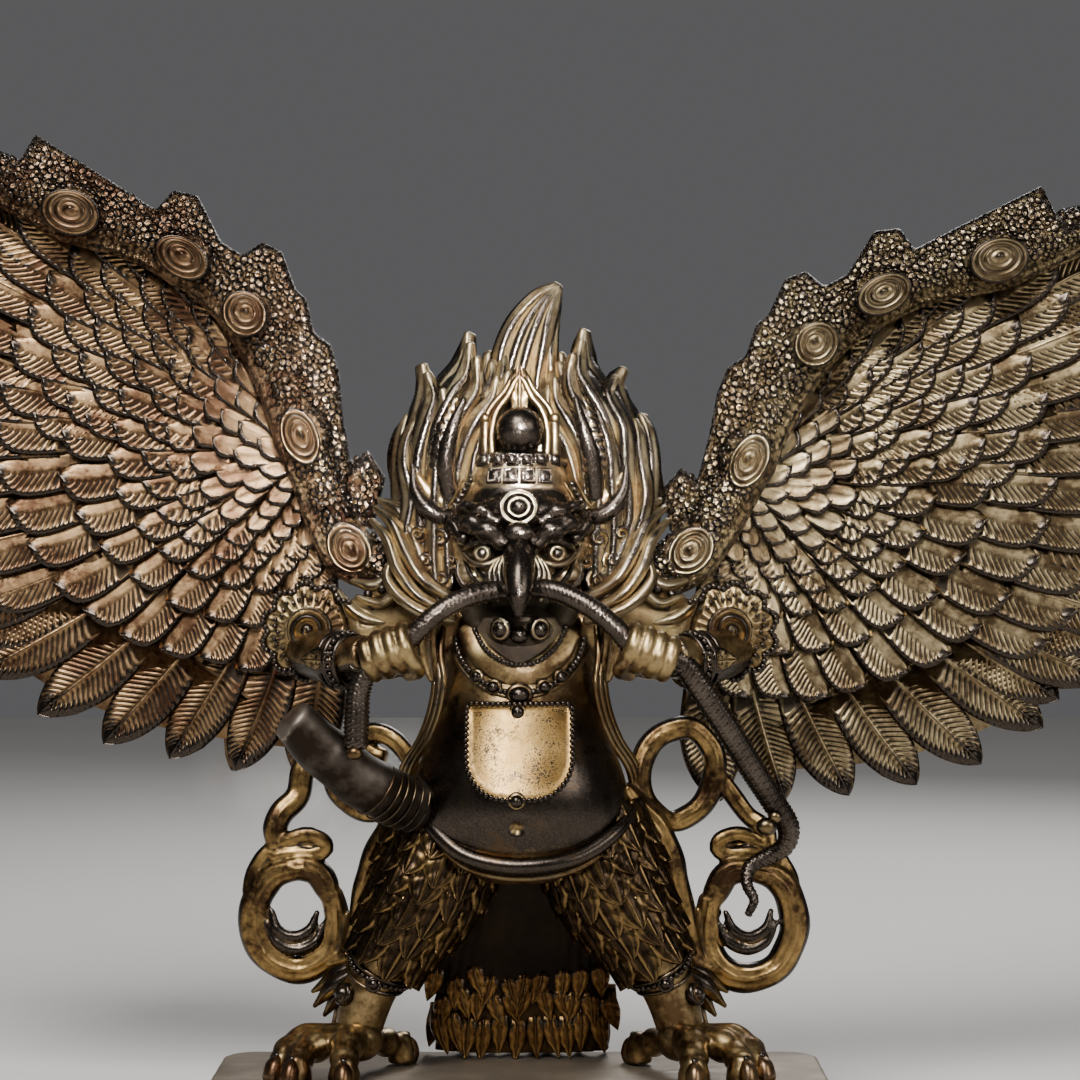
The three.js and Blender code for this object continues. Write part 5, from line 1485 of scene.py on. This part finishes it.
EYEBALL = [(1, -0.7), (1, 0), (0.95, 0.32), (0.86, 0.52), (0.78, 0.56), (0.7, 0.7), (0.6, 0.76), (0.52, 0.68),
           (0.46, 0.8), (0.34, 0.9), (0.2, 0.98), (0.04, 1.0)]
EYEBALL_WORN = [0, 0, 0, 0.25, -0.1, 0.1, 0.1, -0.2, 0.1, 0.3, 0.3, 0.3]
EYE_FOLDS = [
    # path, radii, rings and wear of the lower lid, the upper lid and the three folds under the eye
    ([(1.9, -11.3, 65.4), (3.2, -11.3, 64.5), (4.6, -11, 64.1), (6.2, -9.9, 64.7), (7.4, -8.2, 66.4),
      (8.1, -6.6, 69), (8.4, -5.8, 72)], [0.2, 0.34, 0.42, 0.42, 0.4, 0.35, 0.3], 46, -0.02),
    ([(2, -11.2, 66.2), (3.2, -11.5, 67), (4.6, -11.3, 67.2), (6, -10.4, 66.7), (7, -9.2, 65.9)],
     [0.3, 0.45, 0.5, 0.45, 0.2], 30, 0.3),
    ([(5.6, -9.6, 63.9), (4.6, -11, 62.9), (3.4, -12.2, 62), (3, -12.6, 61.2)],
     [0.252, 0.42, 0.21], 24, 0.25),
    ([(6.8, -8.4, 64.6), (6, -9.6, 62.8), (4.8, -11, 61.6)], [0.216, 0.36, 0.18], 24, 0.25),
    ([(7.6, -7, 65), (7.6, -7.8, 62.8), (6.6, -8.8, 61.4), (5.6, -9.6, 61.8)], [0.252, 0.42, 0.21], 24, 0.25),
]


def eyes():
    """Round eyes with ringed pupils, their lids and the folds of the cheek"""
    forms = []
    for place, side in zip(EYES, SIDES):
        forms.append(turned(place, EYEBALL, (place[0] * 0.04, -1, 0), 28, EYE_RADIUS, rubbed_and_shaded=EYEBALL_WORN))
        forms += [tube(line, widths, sides=10, count=count, rubbed_and_shaded=wear_and_shade).on(side)
                  for line, widths, count, wear_and_shade in EYE_FOLDS]
    return forms


def third_eye():
    """The eye in the brow, upright in a ringed rim"""
    rim = [(2.5, -1.4), (2.55, 0.1), (2.4, 0.4), (2.16, 0.42), (2.04, 0.15)]
    rim_worn = [0, -0.02, -0.1, -0.1, 0.1]
    pupil = [(1.8, 0.42), (1.45, 0.6), (1.36, 0.78), (1.24, 0.78), (1.14, 0.64), (1.05, 0.9), (0.78, 1.24),
             (0.45, 1.42), (0.05, 1.5)]
    pupil_worn = [0.5, 0.5, 0, 0, 0.3, 0.5, 0.5, 0.5, 0.5]
    return [turned(THIRD_EYE, rim + pupil, FRONT, 40, oval=0.92, rubbed_and_shaded=rim_worn + pupil_worn)]


BROW_ROLLS = [
    (1.35, [(1.9, -12, 66.9), (3.6, -12.4, 68.2), (5.6, -11.6, 69.1), (7.6, -9.6, 69.6)]),
    (0.95, [(2.6, -11.8, 69.5), (4.4, -11.6, 70.6), (6.2, -10.4, 71.2), (7.6, -8.8, 71.2)]),
    (0.8, [(6.8, -10, 67.4), (8, -8.6, 68.6), (8.6, -7.2, 70.4)]),
]


def brows():
    """Each brow is a heavy lumpy roll, bare and dark, under a thinner one"""
    def lumps(run, turn):
        return 0.16 * np.cos(2.3 * run + np.sin(2 * turn))

    rolls = [tube(line, half * np.array([0.8, 1, 1, 0.5]), sides=20, count=44, rubbed_and_shaded=0.36, relief=lumps)
             for half, line in BROW_ROLLS]
    return [roll.on(side) for side in SIDES for roll in rolls]


BEAK = np.array([[0, -10.4, 66.2], [0, -13.2, 65], [0, -15.6, 62.9], [0, -17, 60.4], [0, -17.2, 58.4]])


def beak():
    """A hooked beak with a ridge above, and the folds at its root"""
    def ridge(run, turn):
        return 0.22 * hump(turn, np.pi / 2, 0.34) * smooth((9 - run) / 5)

    forms = [tube(BEAK, [1.9, 2.05, 1.95, 1.5, 0.6], [1.9, 2, 1.9, 1.5, 0.7], sides=32, count=40,
                  relief=ridge, ends=(0.3, 0.6), rubbed_and_shaded=0.42)]
    forms.append(bead((0, -12.2, 68), (2.1, 1.5, 1.5), 20, 12, rubbed_and_shaded=0.4))
    forms.append(tube([(-1.4, -13.4, 65.9), (0, -14, 66.2), (1.4, -13.4, 65.9)], [0.3, 0.42, 0.3], sides=10,
                      count=16))
    for side in SIDES:
        for start in ((2.1, -14.2, 65), (2.7, -13.4, 64.7), (3.3, -12.6, 64.3)):
            fold = np.array(start) + [(-0.2, 0.5, 0), (0.35, 0, -1.3), (0.1, -0.4, -3), (-0.5, -0.2, -4.2)]
            forms.append(tube(fold, [0.24, 0.4, 0.36, 0.2], sides=10, count=22).on(side))
    return forms


HORNS = [
    [[-8.6, -5.4, 72.4], [-9.2, -6.6, 77], [-8.4, -7, 81], [-7, -6.6, 84.6]],
    [[9.4, -5.4, 72.6], [9, -6.6, 77.4], [8, -7, 81], [7.1, -6.6, 84.6]],
]


def horns():
    """Short bare horns, each before a ridged one"""
    forms = []
    for line in HORNS:
        line = np.array(line)
        forms.append(tube(line, [1.35, 1.25, 0.95, 0.4], sides=20, count=34, rubbed_and_shaded=0.45))
        behind = line + np.sign(line[:, :1]) * (1, 0, 0) + (0, 1.1, 0.2)
        forms.append(tube(behind, [1.2, 1.3, 1.1, 0.5], sides=16, count=40,
                          relief=lambda run, turn: 0.12 * np.cos(run * 5.5 + 2 * turn), rubbed_and_shaded=0.05))
    return forms


EAR_RIM = [(8.2, -5.6, 70.4), (9.8, -6.4, 70.2), (11.6, -6.6, 71.2), (13, -6.2, 73.4), (13.4, -5.8, 76.4)]
EAR_INSIDE = [(8.4, -5.2, 71.2), (10, -5.6, 72), (11.6, -5.6, 73.4), (12.8, -5.6, 75.4)]
EAR_CURLS = [
    # place, radius and lean of the coiled bosses beside and under each ear
    ((9.8, 67.4), 1.5, 0.5), ((11.6, 64.6), 1.35, 1.5), ((9.6, 62.2), 1.5, 2.3), ((12.6, 68), 1.1, 0.2),
    ((8.4, 64.6), 1.2, 3),
]


def ears():
    """Leaf-shaped ears, gilt within and dark along the lower rim"""
    forms = []
    for side in SIDES:
        ear = [tube(EAR_RIM, [0.9, 1.1, 1.1, 0.8, 0.3], sides=16, count=34, rubbed_and_shaded=0.42),
               tube(EAR_INSIDE, [0.9, 1.2, 1, 0.3], 0.6, sides=14, count=24)]
        ear += [boss((x, -5.8, z), radius, 1.1, (0.25, -1, 0), 22, 11, 1.6, lean)
                for (x, z), radius, lean in EAR_CURLS]
        forms += [form.on(side) for form in ear]
    return forms


STUD = [(1, -0.6), (1, 0.1), (0.86, 0.3), (0.76, 0.2), (0.7, 0.5), (0.5, 0.75), (0.05, 0.85)]
STUD_WORN = [0, 0, -0.05, 0, 0.45, 0.45, 0.45]
FACET = [(1, -0.6), (1, 0.1), (0.88, 0.3), (0.76, 0.16), (0.5, 0.34), (0.05, 0.4)]
FACET_WORN = [0, 0, 0, 0.1, 0.4, 0.4]
JEWEL = [(1, -0.8), (1, 0.1), (0.95, 0.4), (0.8, 0.76), (0.56, 1.0), (0.28, 1.12), (0.03, 1.15)]
NICHE = np.array([(-3.4, 78), (-3.5, 80.6), (-2.9, 83.2), (-1.5, 85.2), (0, 87.6), (1.5, 85.2), (2.9, 83.2),
                  (3.5, 80.6), (3.4, 78)])
PILLARS = (-4.3, 4.4)


def crown():
    """The diadem: a jewel in its niche, two pillars, a row of square studs over a row of facets, and a short
    string of beads hanging at each temple"""
    forms = [tube([(-5.6, -5.2, 76.9), (0, -8.6, 77.2), (5.6, -5.2, 76.9)], 0.95, 0.8, facing=UP, count=30)]
    for x in np.linspace(-4.3, 4.3, 6):
        forms.append(turned((x, 0.108 * x * x - 9.2, 77.2), STUD, (0.1 * x, -1, 0), 4, 1.16, phase=np.pi / 4,
                            rubbed_and_shaded=STUD_WORN))
    for x in (-3.1, -1.05, 1.05, 3.1):
        forms.append(turned((x, 0.1 * x * x - 9.8, 75.2), FACET, (0.12 * x, -1, 0.35), 4, 1.36, 1.05,
                            phase=np.pi / 4, rubbed_and_shaded=FACET_WORN))
    forms.append(turned((0.05, -7.7, 80.9), JEWEL, FRONT, 36, 3.0, rubbed_and_shaded=0.5))
    path = np.stack([NICHE[:, 0], -7.2 + 0.06 * (NICHE[:, 1] - 78), NICHE[:, 1]], 1)
    forms.append(tube(path, 0.5, 0.6, count=70))
    outer = path + (path - (0.0, -7.2, 81)) * (0.3, 0, 0.14) + (0, 0.5, 0)
    forms.append(tube(outer, 0.42, 0.5, sides=10, count=70))
    for x in PILLARS:
        forms.append(tube([(x, -7.2, 78), (x, -7.4, 80), (x * 0.98, -7, 82)], [0.8, 0.62, 0.75], count=20))
        forms.append(bead((x, -7.3, 82.4), 0.7, 14, 9))

    def upright(along, across, height):
        return np.stack([across, -6.4 - height, 83 + along], -1)

    forms.append(leaf(upright, 6.2, 1.5, 0.8, 0.2, 3))
    for side in SIDES:
        line = np.array([(6.5, -7.8, 74.2), (7.2, -7.6, 72.9), (8, -7.1, 71.5)]) * (side, 1, 1)
        forms.append(strung(path_of(line, 5), 0.42, 0.35))
        for shift in (-0.62, 0.62):
            forms.append(tube(line + (shift, 0.2, 0.35 * shift * side), 0.2, sides=8, count=14))
    return forms


JAW_BOSS = [(1, -0.8), (1, 0.1), (0.85, 0.35), (0.76, 0.3), (0.6, 0.62), (0.3, 0.85), (0.04, 0.9)]
JAW_BOSS_WORN = [0, 0, 0, 0, 0.4, 0.45, 0.45]


def jaw():
    """The lower jaw's two bosses with their crescents"""
    chin = bead((0, -9.2, 55.4), (1.2, 1.1, 1), 16, 10, rubbed_and_shaded=0.35)
    return [chin] + [turned((x, -9.4, 56.2), JAW_BOSS, (0.12 * x, -1, -0.1), 24, 1.35, 1.15, JAW_BOSS_WORN)
                     for x in (-2.3, 2.5)]


# Collar, necklaces, apron and belly rim

BIB_HALF, BIB_TOP, BIB_BOTTOM, BIB_CORNER = 6.9, 47.3, 35.2, 5.2


def bib_outline(inset, count=96):
    """The apron's edge drawn in by an inset, as pairs of across and height"""
    half, top, low = BIB_HALF - inset, BIB_TOP - inset, BIB_BOTTOM + inset
    corner = BIB_CORNER - inset
    arc = np.linspace(0, np.pi / 2, 12)
    right = np.stack([half - corner + corner * np.cos(arc), low + corner - corner * np.sin(arc)], 1)
    path = np.vstack([[(-half + 0.6, top), (half - 0.6, top), (half, top - 0.6)], right,
                      right[::-1] * (-1, 1), [(-half, top - 0.6), (-half + 0.6, top)]])
    run = run_of(path)
    return read_off(np.linspace(0, run[-1], count, endpoint=False), run, path)


BIB_MIDDLE = np.array([0, 41.5])
BIB_RINGS = [
    # share of the outline and height over the belly of each ring of the plate, from its foot to its middle
    (1.0, -0.3), (1.0, 0.9), (0.97, 1.15), (0.93, 1.15), (0.9, 0.92), (0.82, 0.88), (0.74, 0.9), (0.65, 0.9),
    (0.55, 0.9), (0.45, 0.88), (0.35, 0.86), (0.25, 0.84), (0.12, 0.82), (0.03, 0.82),
]
BIB_PEARL = [(1, -0.7), (1, 0), (0.86, 0.2), (0.72, 0.15), (0.66, 0.5), (0.4, 0.85), (0.04, 0.95)]


def bib():
    """The apron, laid on the belly, with a beaded border"""
    outline = bib_outline(0.1)
    rings = [on_torso(BIB_MIDDLE + (outline - BIB_MIDDLE) * share, proud) for share, proud in BIB_RINGS]
    plate = lofted(rings, np.array([0.0 if share > 0.9 else -0.06 for share, _ in BIB_RINGS])[:, None])
    x, _, z = plate.points.T
    plate.rubbed_and_shaded += 0.2 * hump(x, 2.4, 2.6) * hump(z, 38.9, 1.9)
    plate.rubbed_and_shaded += 0.1 * hump(x, -1.6, 2.8) * hump(z, 38, 1.7)
    plate.rubbed_and_shaded += 0.3 * hump(np.abs(x), 5.4, 1.6) * hump(z, 46.6, 1)
    beads = strung(on_torso(bib_outline(0.35, 66), 1.2), 0.38, 0.1)
    pearl = turned((-0.3, torso_front(0, 35.4) - 0.8, 35.4), BIB_PEARL, FRONT, 26, 1.15,
                   rubbed_and_shaded=[0, 0, 0, 0, 0.35, 0.4, 0.4])
    return [plate, beads, pearl]


CHAIN = [(-5.6, 56), (-4.4, 53.8), (-2.2, 52.2), (0.2, 51.7), (2.6, 52.3), (4.6, 54), (5.8, 56.2)]
COLLAR = [(-6.4, 56.4), (-4.6, 52.8), (0, 50.4), (4.6, 52.8), (6.4, 56.4)]
HEM = [(-8.6, 57), (-7.4, 52.6), (-4.8, 49.7), (0, 48.2), (4.8, 49.7), (7.4, 52.6), (8.6, 57)]
STONE = [(1, -0.6), (1, 0.05), (0.9, 0.3), (0.76, 0.26), (0.68, 0.6), (0.4, 0.85), (0.04, 0.92)]
STONE_WORN = [0, 0, 0, 0, 0.3, 0.4, 0.4]
PENDANTS = [
    # across and height of each stone, its size and how upright it is
    (-5.3, 50.2, 1, 1), (-3.2, 49, 1.1, 0.9), (0, 48.1, 1.75, 0.78), (3.1, 49, 1.1, 0.9), (5.1, 50.2, 1, 1),
    (-0.2, 45.9, 1.1, 1.15),
]


def drawn(points, count):
    """A smooth line through pairs of across and height"""
    return path_of([(*point, 0) for point in points], count)[:, :2]


def necklaces():
    """A chain of beads, a flat collar with a beaded hem, and the stones that hang from it"""
    hem = drawn(HEM, 47)
    forms = [strung(on_torso(drawn(CHAIN, 29), 0.75), 0.38, 0.2),
             tube(on_torso(drawn(COLLAR, 30), 0.15)[::2], 1.6, 0.4, sides=16, count=60, rubbed_and_shaded=-0.03),
             strung(on_torso(hem, 0.55), 0.42, 0.15),
             tube(on_torso(hem * (1.06, 1) - (0, 0.55), 0.2)[::3], 0.32, sides=10, count=70)]
    for x, z, size, oval in PENDANTS:
        place = on_torso([(x, z)], 0.45)[0]
        forms.append(turned(place, STONE, (0.07 * x, -1, 0), 26, size, oval, STONE_WORN))
    for x in (-1.3, 0.9):
        forms.append(turned(on_torso([(x, 46.9)], 0.5)[0], STONE, FRONT, 18, 0.6, rubbed_and_shaded=STONE_WORN))
    return forms


def belly_rim():
    """The smooth roll under the belly, with a thinner one below it"""
    line = [(-13.4, -4.6, 34.4), (-11, -9, 31.7), (-6.9, -11.8, 28.4), (-2.1, -12.9, 27.2),
            (2.7, -12.9, 27.2), (7.5, -11.6, 28.2), (12.3, -8.8, 31.3), (14.6, -5, 34.2)]
    lower = np.array(line) * (0.97, 0.97, 1) + (0, 0.7, -1.5)
    return [tube(line, [0.6, 1.0, 1.1, 1.1, 1.1, 1.0, 0.6], sides=18, count=80, rubbed_and_shaded=0.12),
            tube(lower, 0.55, sides=12, count=60, rubbed_and_shaded=-0.05)]


FOLD_LINE = np.array([(9.6, -2.6, 57), (9.9, -4.6, 53), (9.5, -5.4, 49.5), (10.1, -5, 45.6), (11.5, -4.2, 42),
                      (13.6, -2.8, 38.6), (14.4, -1.4, 35.4)])
DRAPE = [(11, -4.4, 58.6), (11.8, -4.8, 55), (11.5, -4.4, 52), (11, -4, 49.8)]


def side_folds():
    """The scarf's edges down both sides of the chest, in smooth parallel folds"""
    def pleats(run, turn):
        return 0.16 * np.cos(7 * turn) * smooth(run / 2)

    forms = []
    for side in SIDES:
        for shift, half in ((0, 0.42), (0.8, 0.5), (1.6, 0.42)):
            fold = FOLD_LINE + (0.75 * shift, 0.8 * shift, 0)
            fold[0, 0] += 0.5 * shift
            forms.append(tube(fold, half * np.array([1, 1, 1.1, 1, 0.9]), count=60).on(side))
        forms.append(tube(DRAPE, [1.0, 1.4, 1.3, 0.5], 1.0, sides=28, count=44, relief=pleats).on(side))
    return forms


# Hands, cuffs and elbow ornaments

ELBOW = np.array([26.2, -6.4, 55.8])
FAN_RADIUS = 6.5
FINGERS = [(13.5, -17.5, 54.5), (15, -17.4, 53.9), (16.5, -17.2, 53.3), (18, -17, 52.8)]


FINGER_RADII = [0.86, 0.98, 0.88, 1.02, 0.9, 1.0, 0.88, 0.84]       # swollen at the joints
FINGER_REACH = [2.1, 2.25, 2.25, 2.1]
NAIL_REACH, NAIL_TURN = 2.75, -1.9
THUMB = [(13.4, -14.8, 50.9), (12.3, -16.8, 51.3), (12.6, -18.7, 52.3), (13.8, -19.8, 53.6)]


def hand():
    """A fist closed on the serpent: four bent fingers with nails, a thumb and the back of the hand"""
    way = unit(np.array([6.1, 0.8, -2.1]))
    out = unit(FRONT - way * (FRONT @ way))
    up = np.cross(way, out)
    up = up if up[2] > 0 else -up
    forms = [bead((16.2, -14.9, 53), (3.6, 2.9, 2.6), 22, 14)]
    turn = np.radians(np.linspace(-125, 135, 12))
    for centre, reach in zip(np.array(FINGERS), FINGER_REACH):
        arc = centre + reach * wheel(turn, out, up)
        forms.append(tube(arc, FINGER_RADII, sides=14, count=32, ends=(0.4, 0.4)))
        nail = NAIL_REACH * wheel(np.array(NAIL_TURN), out, up)
        forms.append(bead(centre + nail, (0.42, 0.5, 0.28), 10, 6, axis=nail))
    forms.append(tube(THUMB, [1.05, 0.95, 0.95, 0.6], sides=16, count=26))
    return [clay(forms, voxel=0.2, rounds=1)]


CUFF_CENTRE = np.array([21.6, -12.8, 52.5])
CUFF_RINGS = [
    # place of each ring along the wrist, its radius and half its thickness
    (0, 3.25, 0.42), (1.5, 3.1, 0.36), (-1.1, 3.35, 0.3),
]
HOLLOW = [(1, -1.4), (1, 0.1), (0.92, 0.3), (0.8, 0.3), (0.7, 0.05), (0.62, -0.5), (0.05, -0.9)]
# The hollow's rim is a little bare and its inside is made dark with painted shade
HOLLOW_WEAR_AND_SHADE = [0, 0, 0.1, 0.1, -0.3, -0.5, -0.5]


def cuffs():
    """Bracelets: a band, a ring of beads and the dark hollow beside the fingers"""
    way = unit(np.array([-2.4, -2.3, -0.1]))
    side = unit(np.cross(way, UP))
    up = np.cross(side, way)
    circle = wheel(angles(24), side, up)
    forms = []
    for shift, radius, half in CUFF_RINGS:
        ring = CUFF_CENTRE + way * shift + circle * radius
        band = ring[:, None] + half * wheel(angles(10), circle[:, None], way)
        forms.append(lofted(band, 0.05, closes=False))
    centre = CUFF_CENTRE + way * 0.75

    def outside(along, across, height):
        return (centre - way * (along[..., None] - 0.5) + across[..., None] * up
                - (2.9 + height[..., None]) * side)

    forms += [strung(centre + circle * 3.3, 0.44, 0.15), leaf(outside, 4.6, 1.7, 0.6, 0.6, 3),
              turned((19.4, -17.4, 52.9), HOLLOW, (0.5, -1, 0.1), 26, 1.5, 1.2, HOLLOW_WEAR_AND_SHADE)]
    return forms


def elbow_fan():
    """The ornament at the elbow: a scalloped fan of ribs about a coiled boss, edged with beads"""
    reach = np.concatenate([[1.0, 1.0], np.linspace(0.98, 0.05, 24)])[:, None]
    turn = angles(132)
    outward = smooth((np.cos(turn - 0.25) + 0.75) / 0.6)
    scallop = 1 - 0.13 * outward * np.abs(np.cos(turn * 5.5)) ** 3 - 0.25 * (1 - outward)
    edge = FAN_RADIUS * scallop
    ribs = 0.16 * np.cos(22 * turn) * smooth((reach - 0.5) / 0.08) * smooth((0.86 - reach) / 0.06)
    arcs = 0.22 * hump(reach, 0.88, 0.035) + 0.2 * hump(reach, 0.5, 0.04)
    rise = 0.7 + 0.9 * (1 - reach ** 2) + ribs + arcs
    rise[0] = -1.4
    x, z = ELBOW[0] + edge * reach * np.cos(turn), ELBOW[2] + edge * reach * np.sin(turn)
    y = ELBOW[1] - rise + 0.03 * (edge * reach) ** 2
    forms = [lofted(np.stack([x, y, z], -1))]
    forms.append(boss((ELBOW[0], ELBOW[1] - 1.2, ELBOW[2] + 0.2), 2.9, 1.7, turns=2.1, around=44, rows=24))
    for share, size, count in ((0.94, 0.4, 46), (0.7, 0.3, 26)):
        angle = np.linspace(-2.0, 2.5, count)
        rim = FAN_RADIUS * (1 - 0.13 * np.abs(np.cos(angle * 5.5)) ** 3) * share
        y = 0.03 * rim ** 2 - 1.25 - 0.6 * (1 - share)
        places = ELBOW + np.stack([rim * np.cos(angle), y, rim * np.sin(angle)], 1)
        forms.append(strung(places, size, 0.12))
    return forms


SOLDER = [((30.7, -8.8, 31.6), (1.35, 1.15, 1.1), 16, 10), ((31.8, -8.6, 32.8), (0.9, 0.8, 0.8), 14, 9),
          ((-19.9, -17.9, 41.4), (1.0, 0.85, 0.8), 16, 10)]


def solder():
    """Lumps of solder that hold the serpent's ends"""
    return [bead(*lump) for lump in SOLDER]


# The plinth

PLINTH_CORNER, PLINTH_EDGE, PLINTH_WAIST, PLINTH_SLAB = 0.014, 0.0025, 0.003, 0.009


def plinth():
    """The low plinth: a slab, a waist and a slab with a rounded upper edge"""
    low, top = np.array(PLINTH_LOW), np.array(PLINTH_HIGH)
    size, middle = top - low, (top + low) / 2
    high = size[2]
    levels = [
        # height of each ring and how far it is drawn in
        (0, 0.001), (0.001, 0), (PLINTH_SLAB - 0.0015, 0), (PLINTH_SLAB, 0.0012),
        (PLINTH_SLAB + 0.0004, PLINTH_WAIST), (high - PLINTH_SLAB - 0.0004, PLINTH_WAIST),
        (high - PLINTH_SLAB, 0.0012), (high - PLINTH_SLAB + 0.0015, 0), (high - PLINTH_EDGE, 0),
        (high - PLINTH_EDGE * 0.3, PLINTH_EDGE * 0.4), (high, PLINTH_EDGE * 1.2), (high, 0.012), (high, 0.03),
        (high, 0.055),
    ]
    turn = np.radians(np.arange(0, 91, 7.5))
    rings = []
    for level, inset in levels:
        half = size[:2] / 2 - inset
        corner = max(PLINTH_CORNER - inset, 0.0015)
        ring = []
        for quarter, (right, rear) in enumerate(((1, -1), (1, 1), (-1, 1), (-1, -1))):
            angle = turn + np.radians(-90 + 90 * quarter)
            ring.append(np.stack([right * (half[0] - corner) + corner * np.cos(angle),
                                  rear * (half[1] - corner) + corner * np.sin(angle),
                                  np.full(len(angle), level)], 1))
        ring = np.vstack(ring + [ring[0][:1]])
        run = run_of(ring)
        rings.append(read_off(np.linspace(0, run[-1], 240, endpoint=False), run, ring))
    form = lofted(rings)
    x, y, z = form.points.T
    form.points[:, 2] -= np.abs(0.00018 * np.sin(x * 90 + y * 140) * (z > 0.001))
    form.points += (middle[0], middle[1], low[2])
    return form.put(lambda points: (points - GROUND) / SHARE)


# Every piece, in its finish

wing(-1, RIGHT_WING_LIFT, RIGHT_WING_RISE, "right", RED_GILT, RED_CRUST)
wing(1, LEFT_WING_LIFT, 0, "left", OLIVE_GILT, OLIVE_CRUST)
piece("torso_and_limbs", torso(), GILT, keep=0.4)
piece("hair", hair() + tufts(), BRIGHT_GILT, wear=1.3, keep=0.8)
piece("head", skull(), BRIGHT_GILT, keep=0.55)
piece("face", eyes() + third_eye() + brows() + beak() + jaw(), BRIGHT_GILT)
piece("horns_and_ears", horns() + ears(), GILT)
piece("crown", crown(), GILT)
plate, *border = bib()
piece("apron", plate, SPECKLED_GILT)
piece("dress", border + necklaces() + belly_rim() + side_folds(), GILT)
piece("hands_and_elbows", both(hand() + cuffs() + elbow_fan()), GILT, keep=0.65)
piece("greaves_and_spurs", both(greaves() + spurs()), GILT)
piece("thigh_feathers", both(thigh_feathers()), FEATHER_BRONZE, wear=0.6)
flesh, claws = feet()
piece("feet", clay(both(flesh), voxel=0.3, rounds=3), GILT, keep=0.6)
piece("claws", both(claws), RED_GILT, wear=0.4)
tail_body, fringe = tail()
piece("tail", tail_body, BROWN_GILT)
piece("tail_fringe", fringe, FRINGE_GILT, keep=0.85)
piece("scarves", scarves(), PATCHY_GILT, keep=0.5)
piece("stub", stub(), BROWN_METAL)
piece("stub_threads", stub_threads(), GILT)
piece("serpent", snake(), DARK_METAL, "snake")
piece("solder", solder(), GILT)
piece("plinth_slab", plinth(), GREY_BRONZE, "plinth")


# The photograph's view: the camera stands level, in front and a little to the figure's left

CAMERA_DISTANCE = 1.3       # from the lens to the body's centre line
CAMERA_ACROSS = 0.0092
CAMERA_HEIGHT = 0.242       # above the plinth's top
LENS_MM, SENSOR_MM = 94.5, 36.0

camera_data = bpy.data.cameras.new("camera")
camera_data.lens, camera_data.sensor_width = LENS_MM, SENSOR_MM
camera = set_out("camera", camera_data)
camera.location = (CAMERA_ACROSS, GROUND[1] - CAMERA_DISTANCE, GROUND[2] + CAMERA_HEIGHT)
camera.rotation_euler = (math.pi / 2, 0, 0)
bpy.context.scene.camera = camera


def lamp(name, place, size, power, aim=(0, 0, 0.25), spread=180):
    data = bpy.data.lights.new(name, "AREA")
    data.shape, data.size, data.energy = "SQUARE", size, power
    data.spread = math.radians(spread)
    thing = set_out(name, data)
    thing.location = place
    thing.rotation_euler = (Vector(aim) - Vector(place)).to_track_quat("-Z", "Y").to_euler()


lamp("key_light", (-0.3, -1.05, 1.45), 0.7, 44)
lamp("head_light", (0.12, -1.35, 0.62), 0.12, 0.8, (0, 0, 0.335), 9)
lamp("fill_light", (1.3, -1.1, 0.9), 0.8, 10)
lamp("back_light", (0.4, 1.2, 1.1), 0.8, 14)

world = bpy.data.worlds.new("studio")
world.use_nodes = True
world.node_tree.nodes["Background"].inputs["Color"].default_value = (0.32, 0.32, 0.33, 1)
world.node_tree.nodes["Background"].inputs["Strength"].default_value = 0.33
bpy.context.scene.world = world


FLOOR_HALF = 3.0


def floor():
    finish = Finish("pale_floor")
    tone = finish.grain(3.0, 2.0, 0.5)
    colour = finish.blend(tone, rgb("c9c6c1"), rgb("d2cfca"))
    mesh = bpy.data.meshes.new("floor")
    corners = [(FLOOR_HALF * x, FLOOR_HALF * y, 0) for x, y in ((-1, -1), (1, -1), (1, 1), (-1, 1))]
    mesh.from_pydata(corners, [], [(0, 1, 2, 3)])
    mesh.materials.append(finish.surface(colour, 0.85, 0.0, tone, 0.05, 0.0005))
    set_out("floor", mesh)


floor()
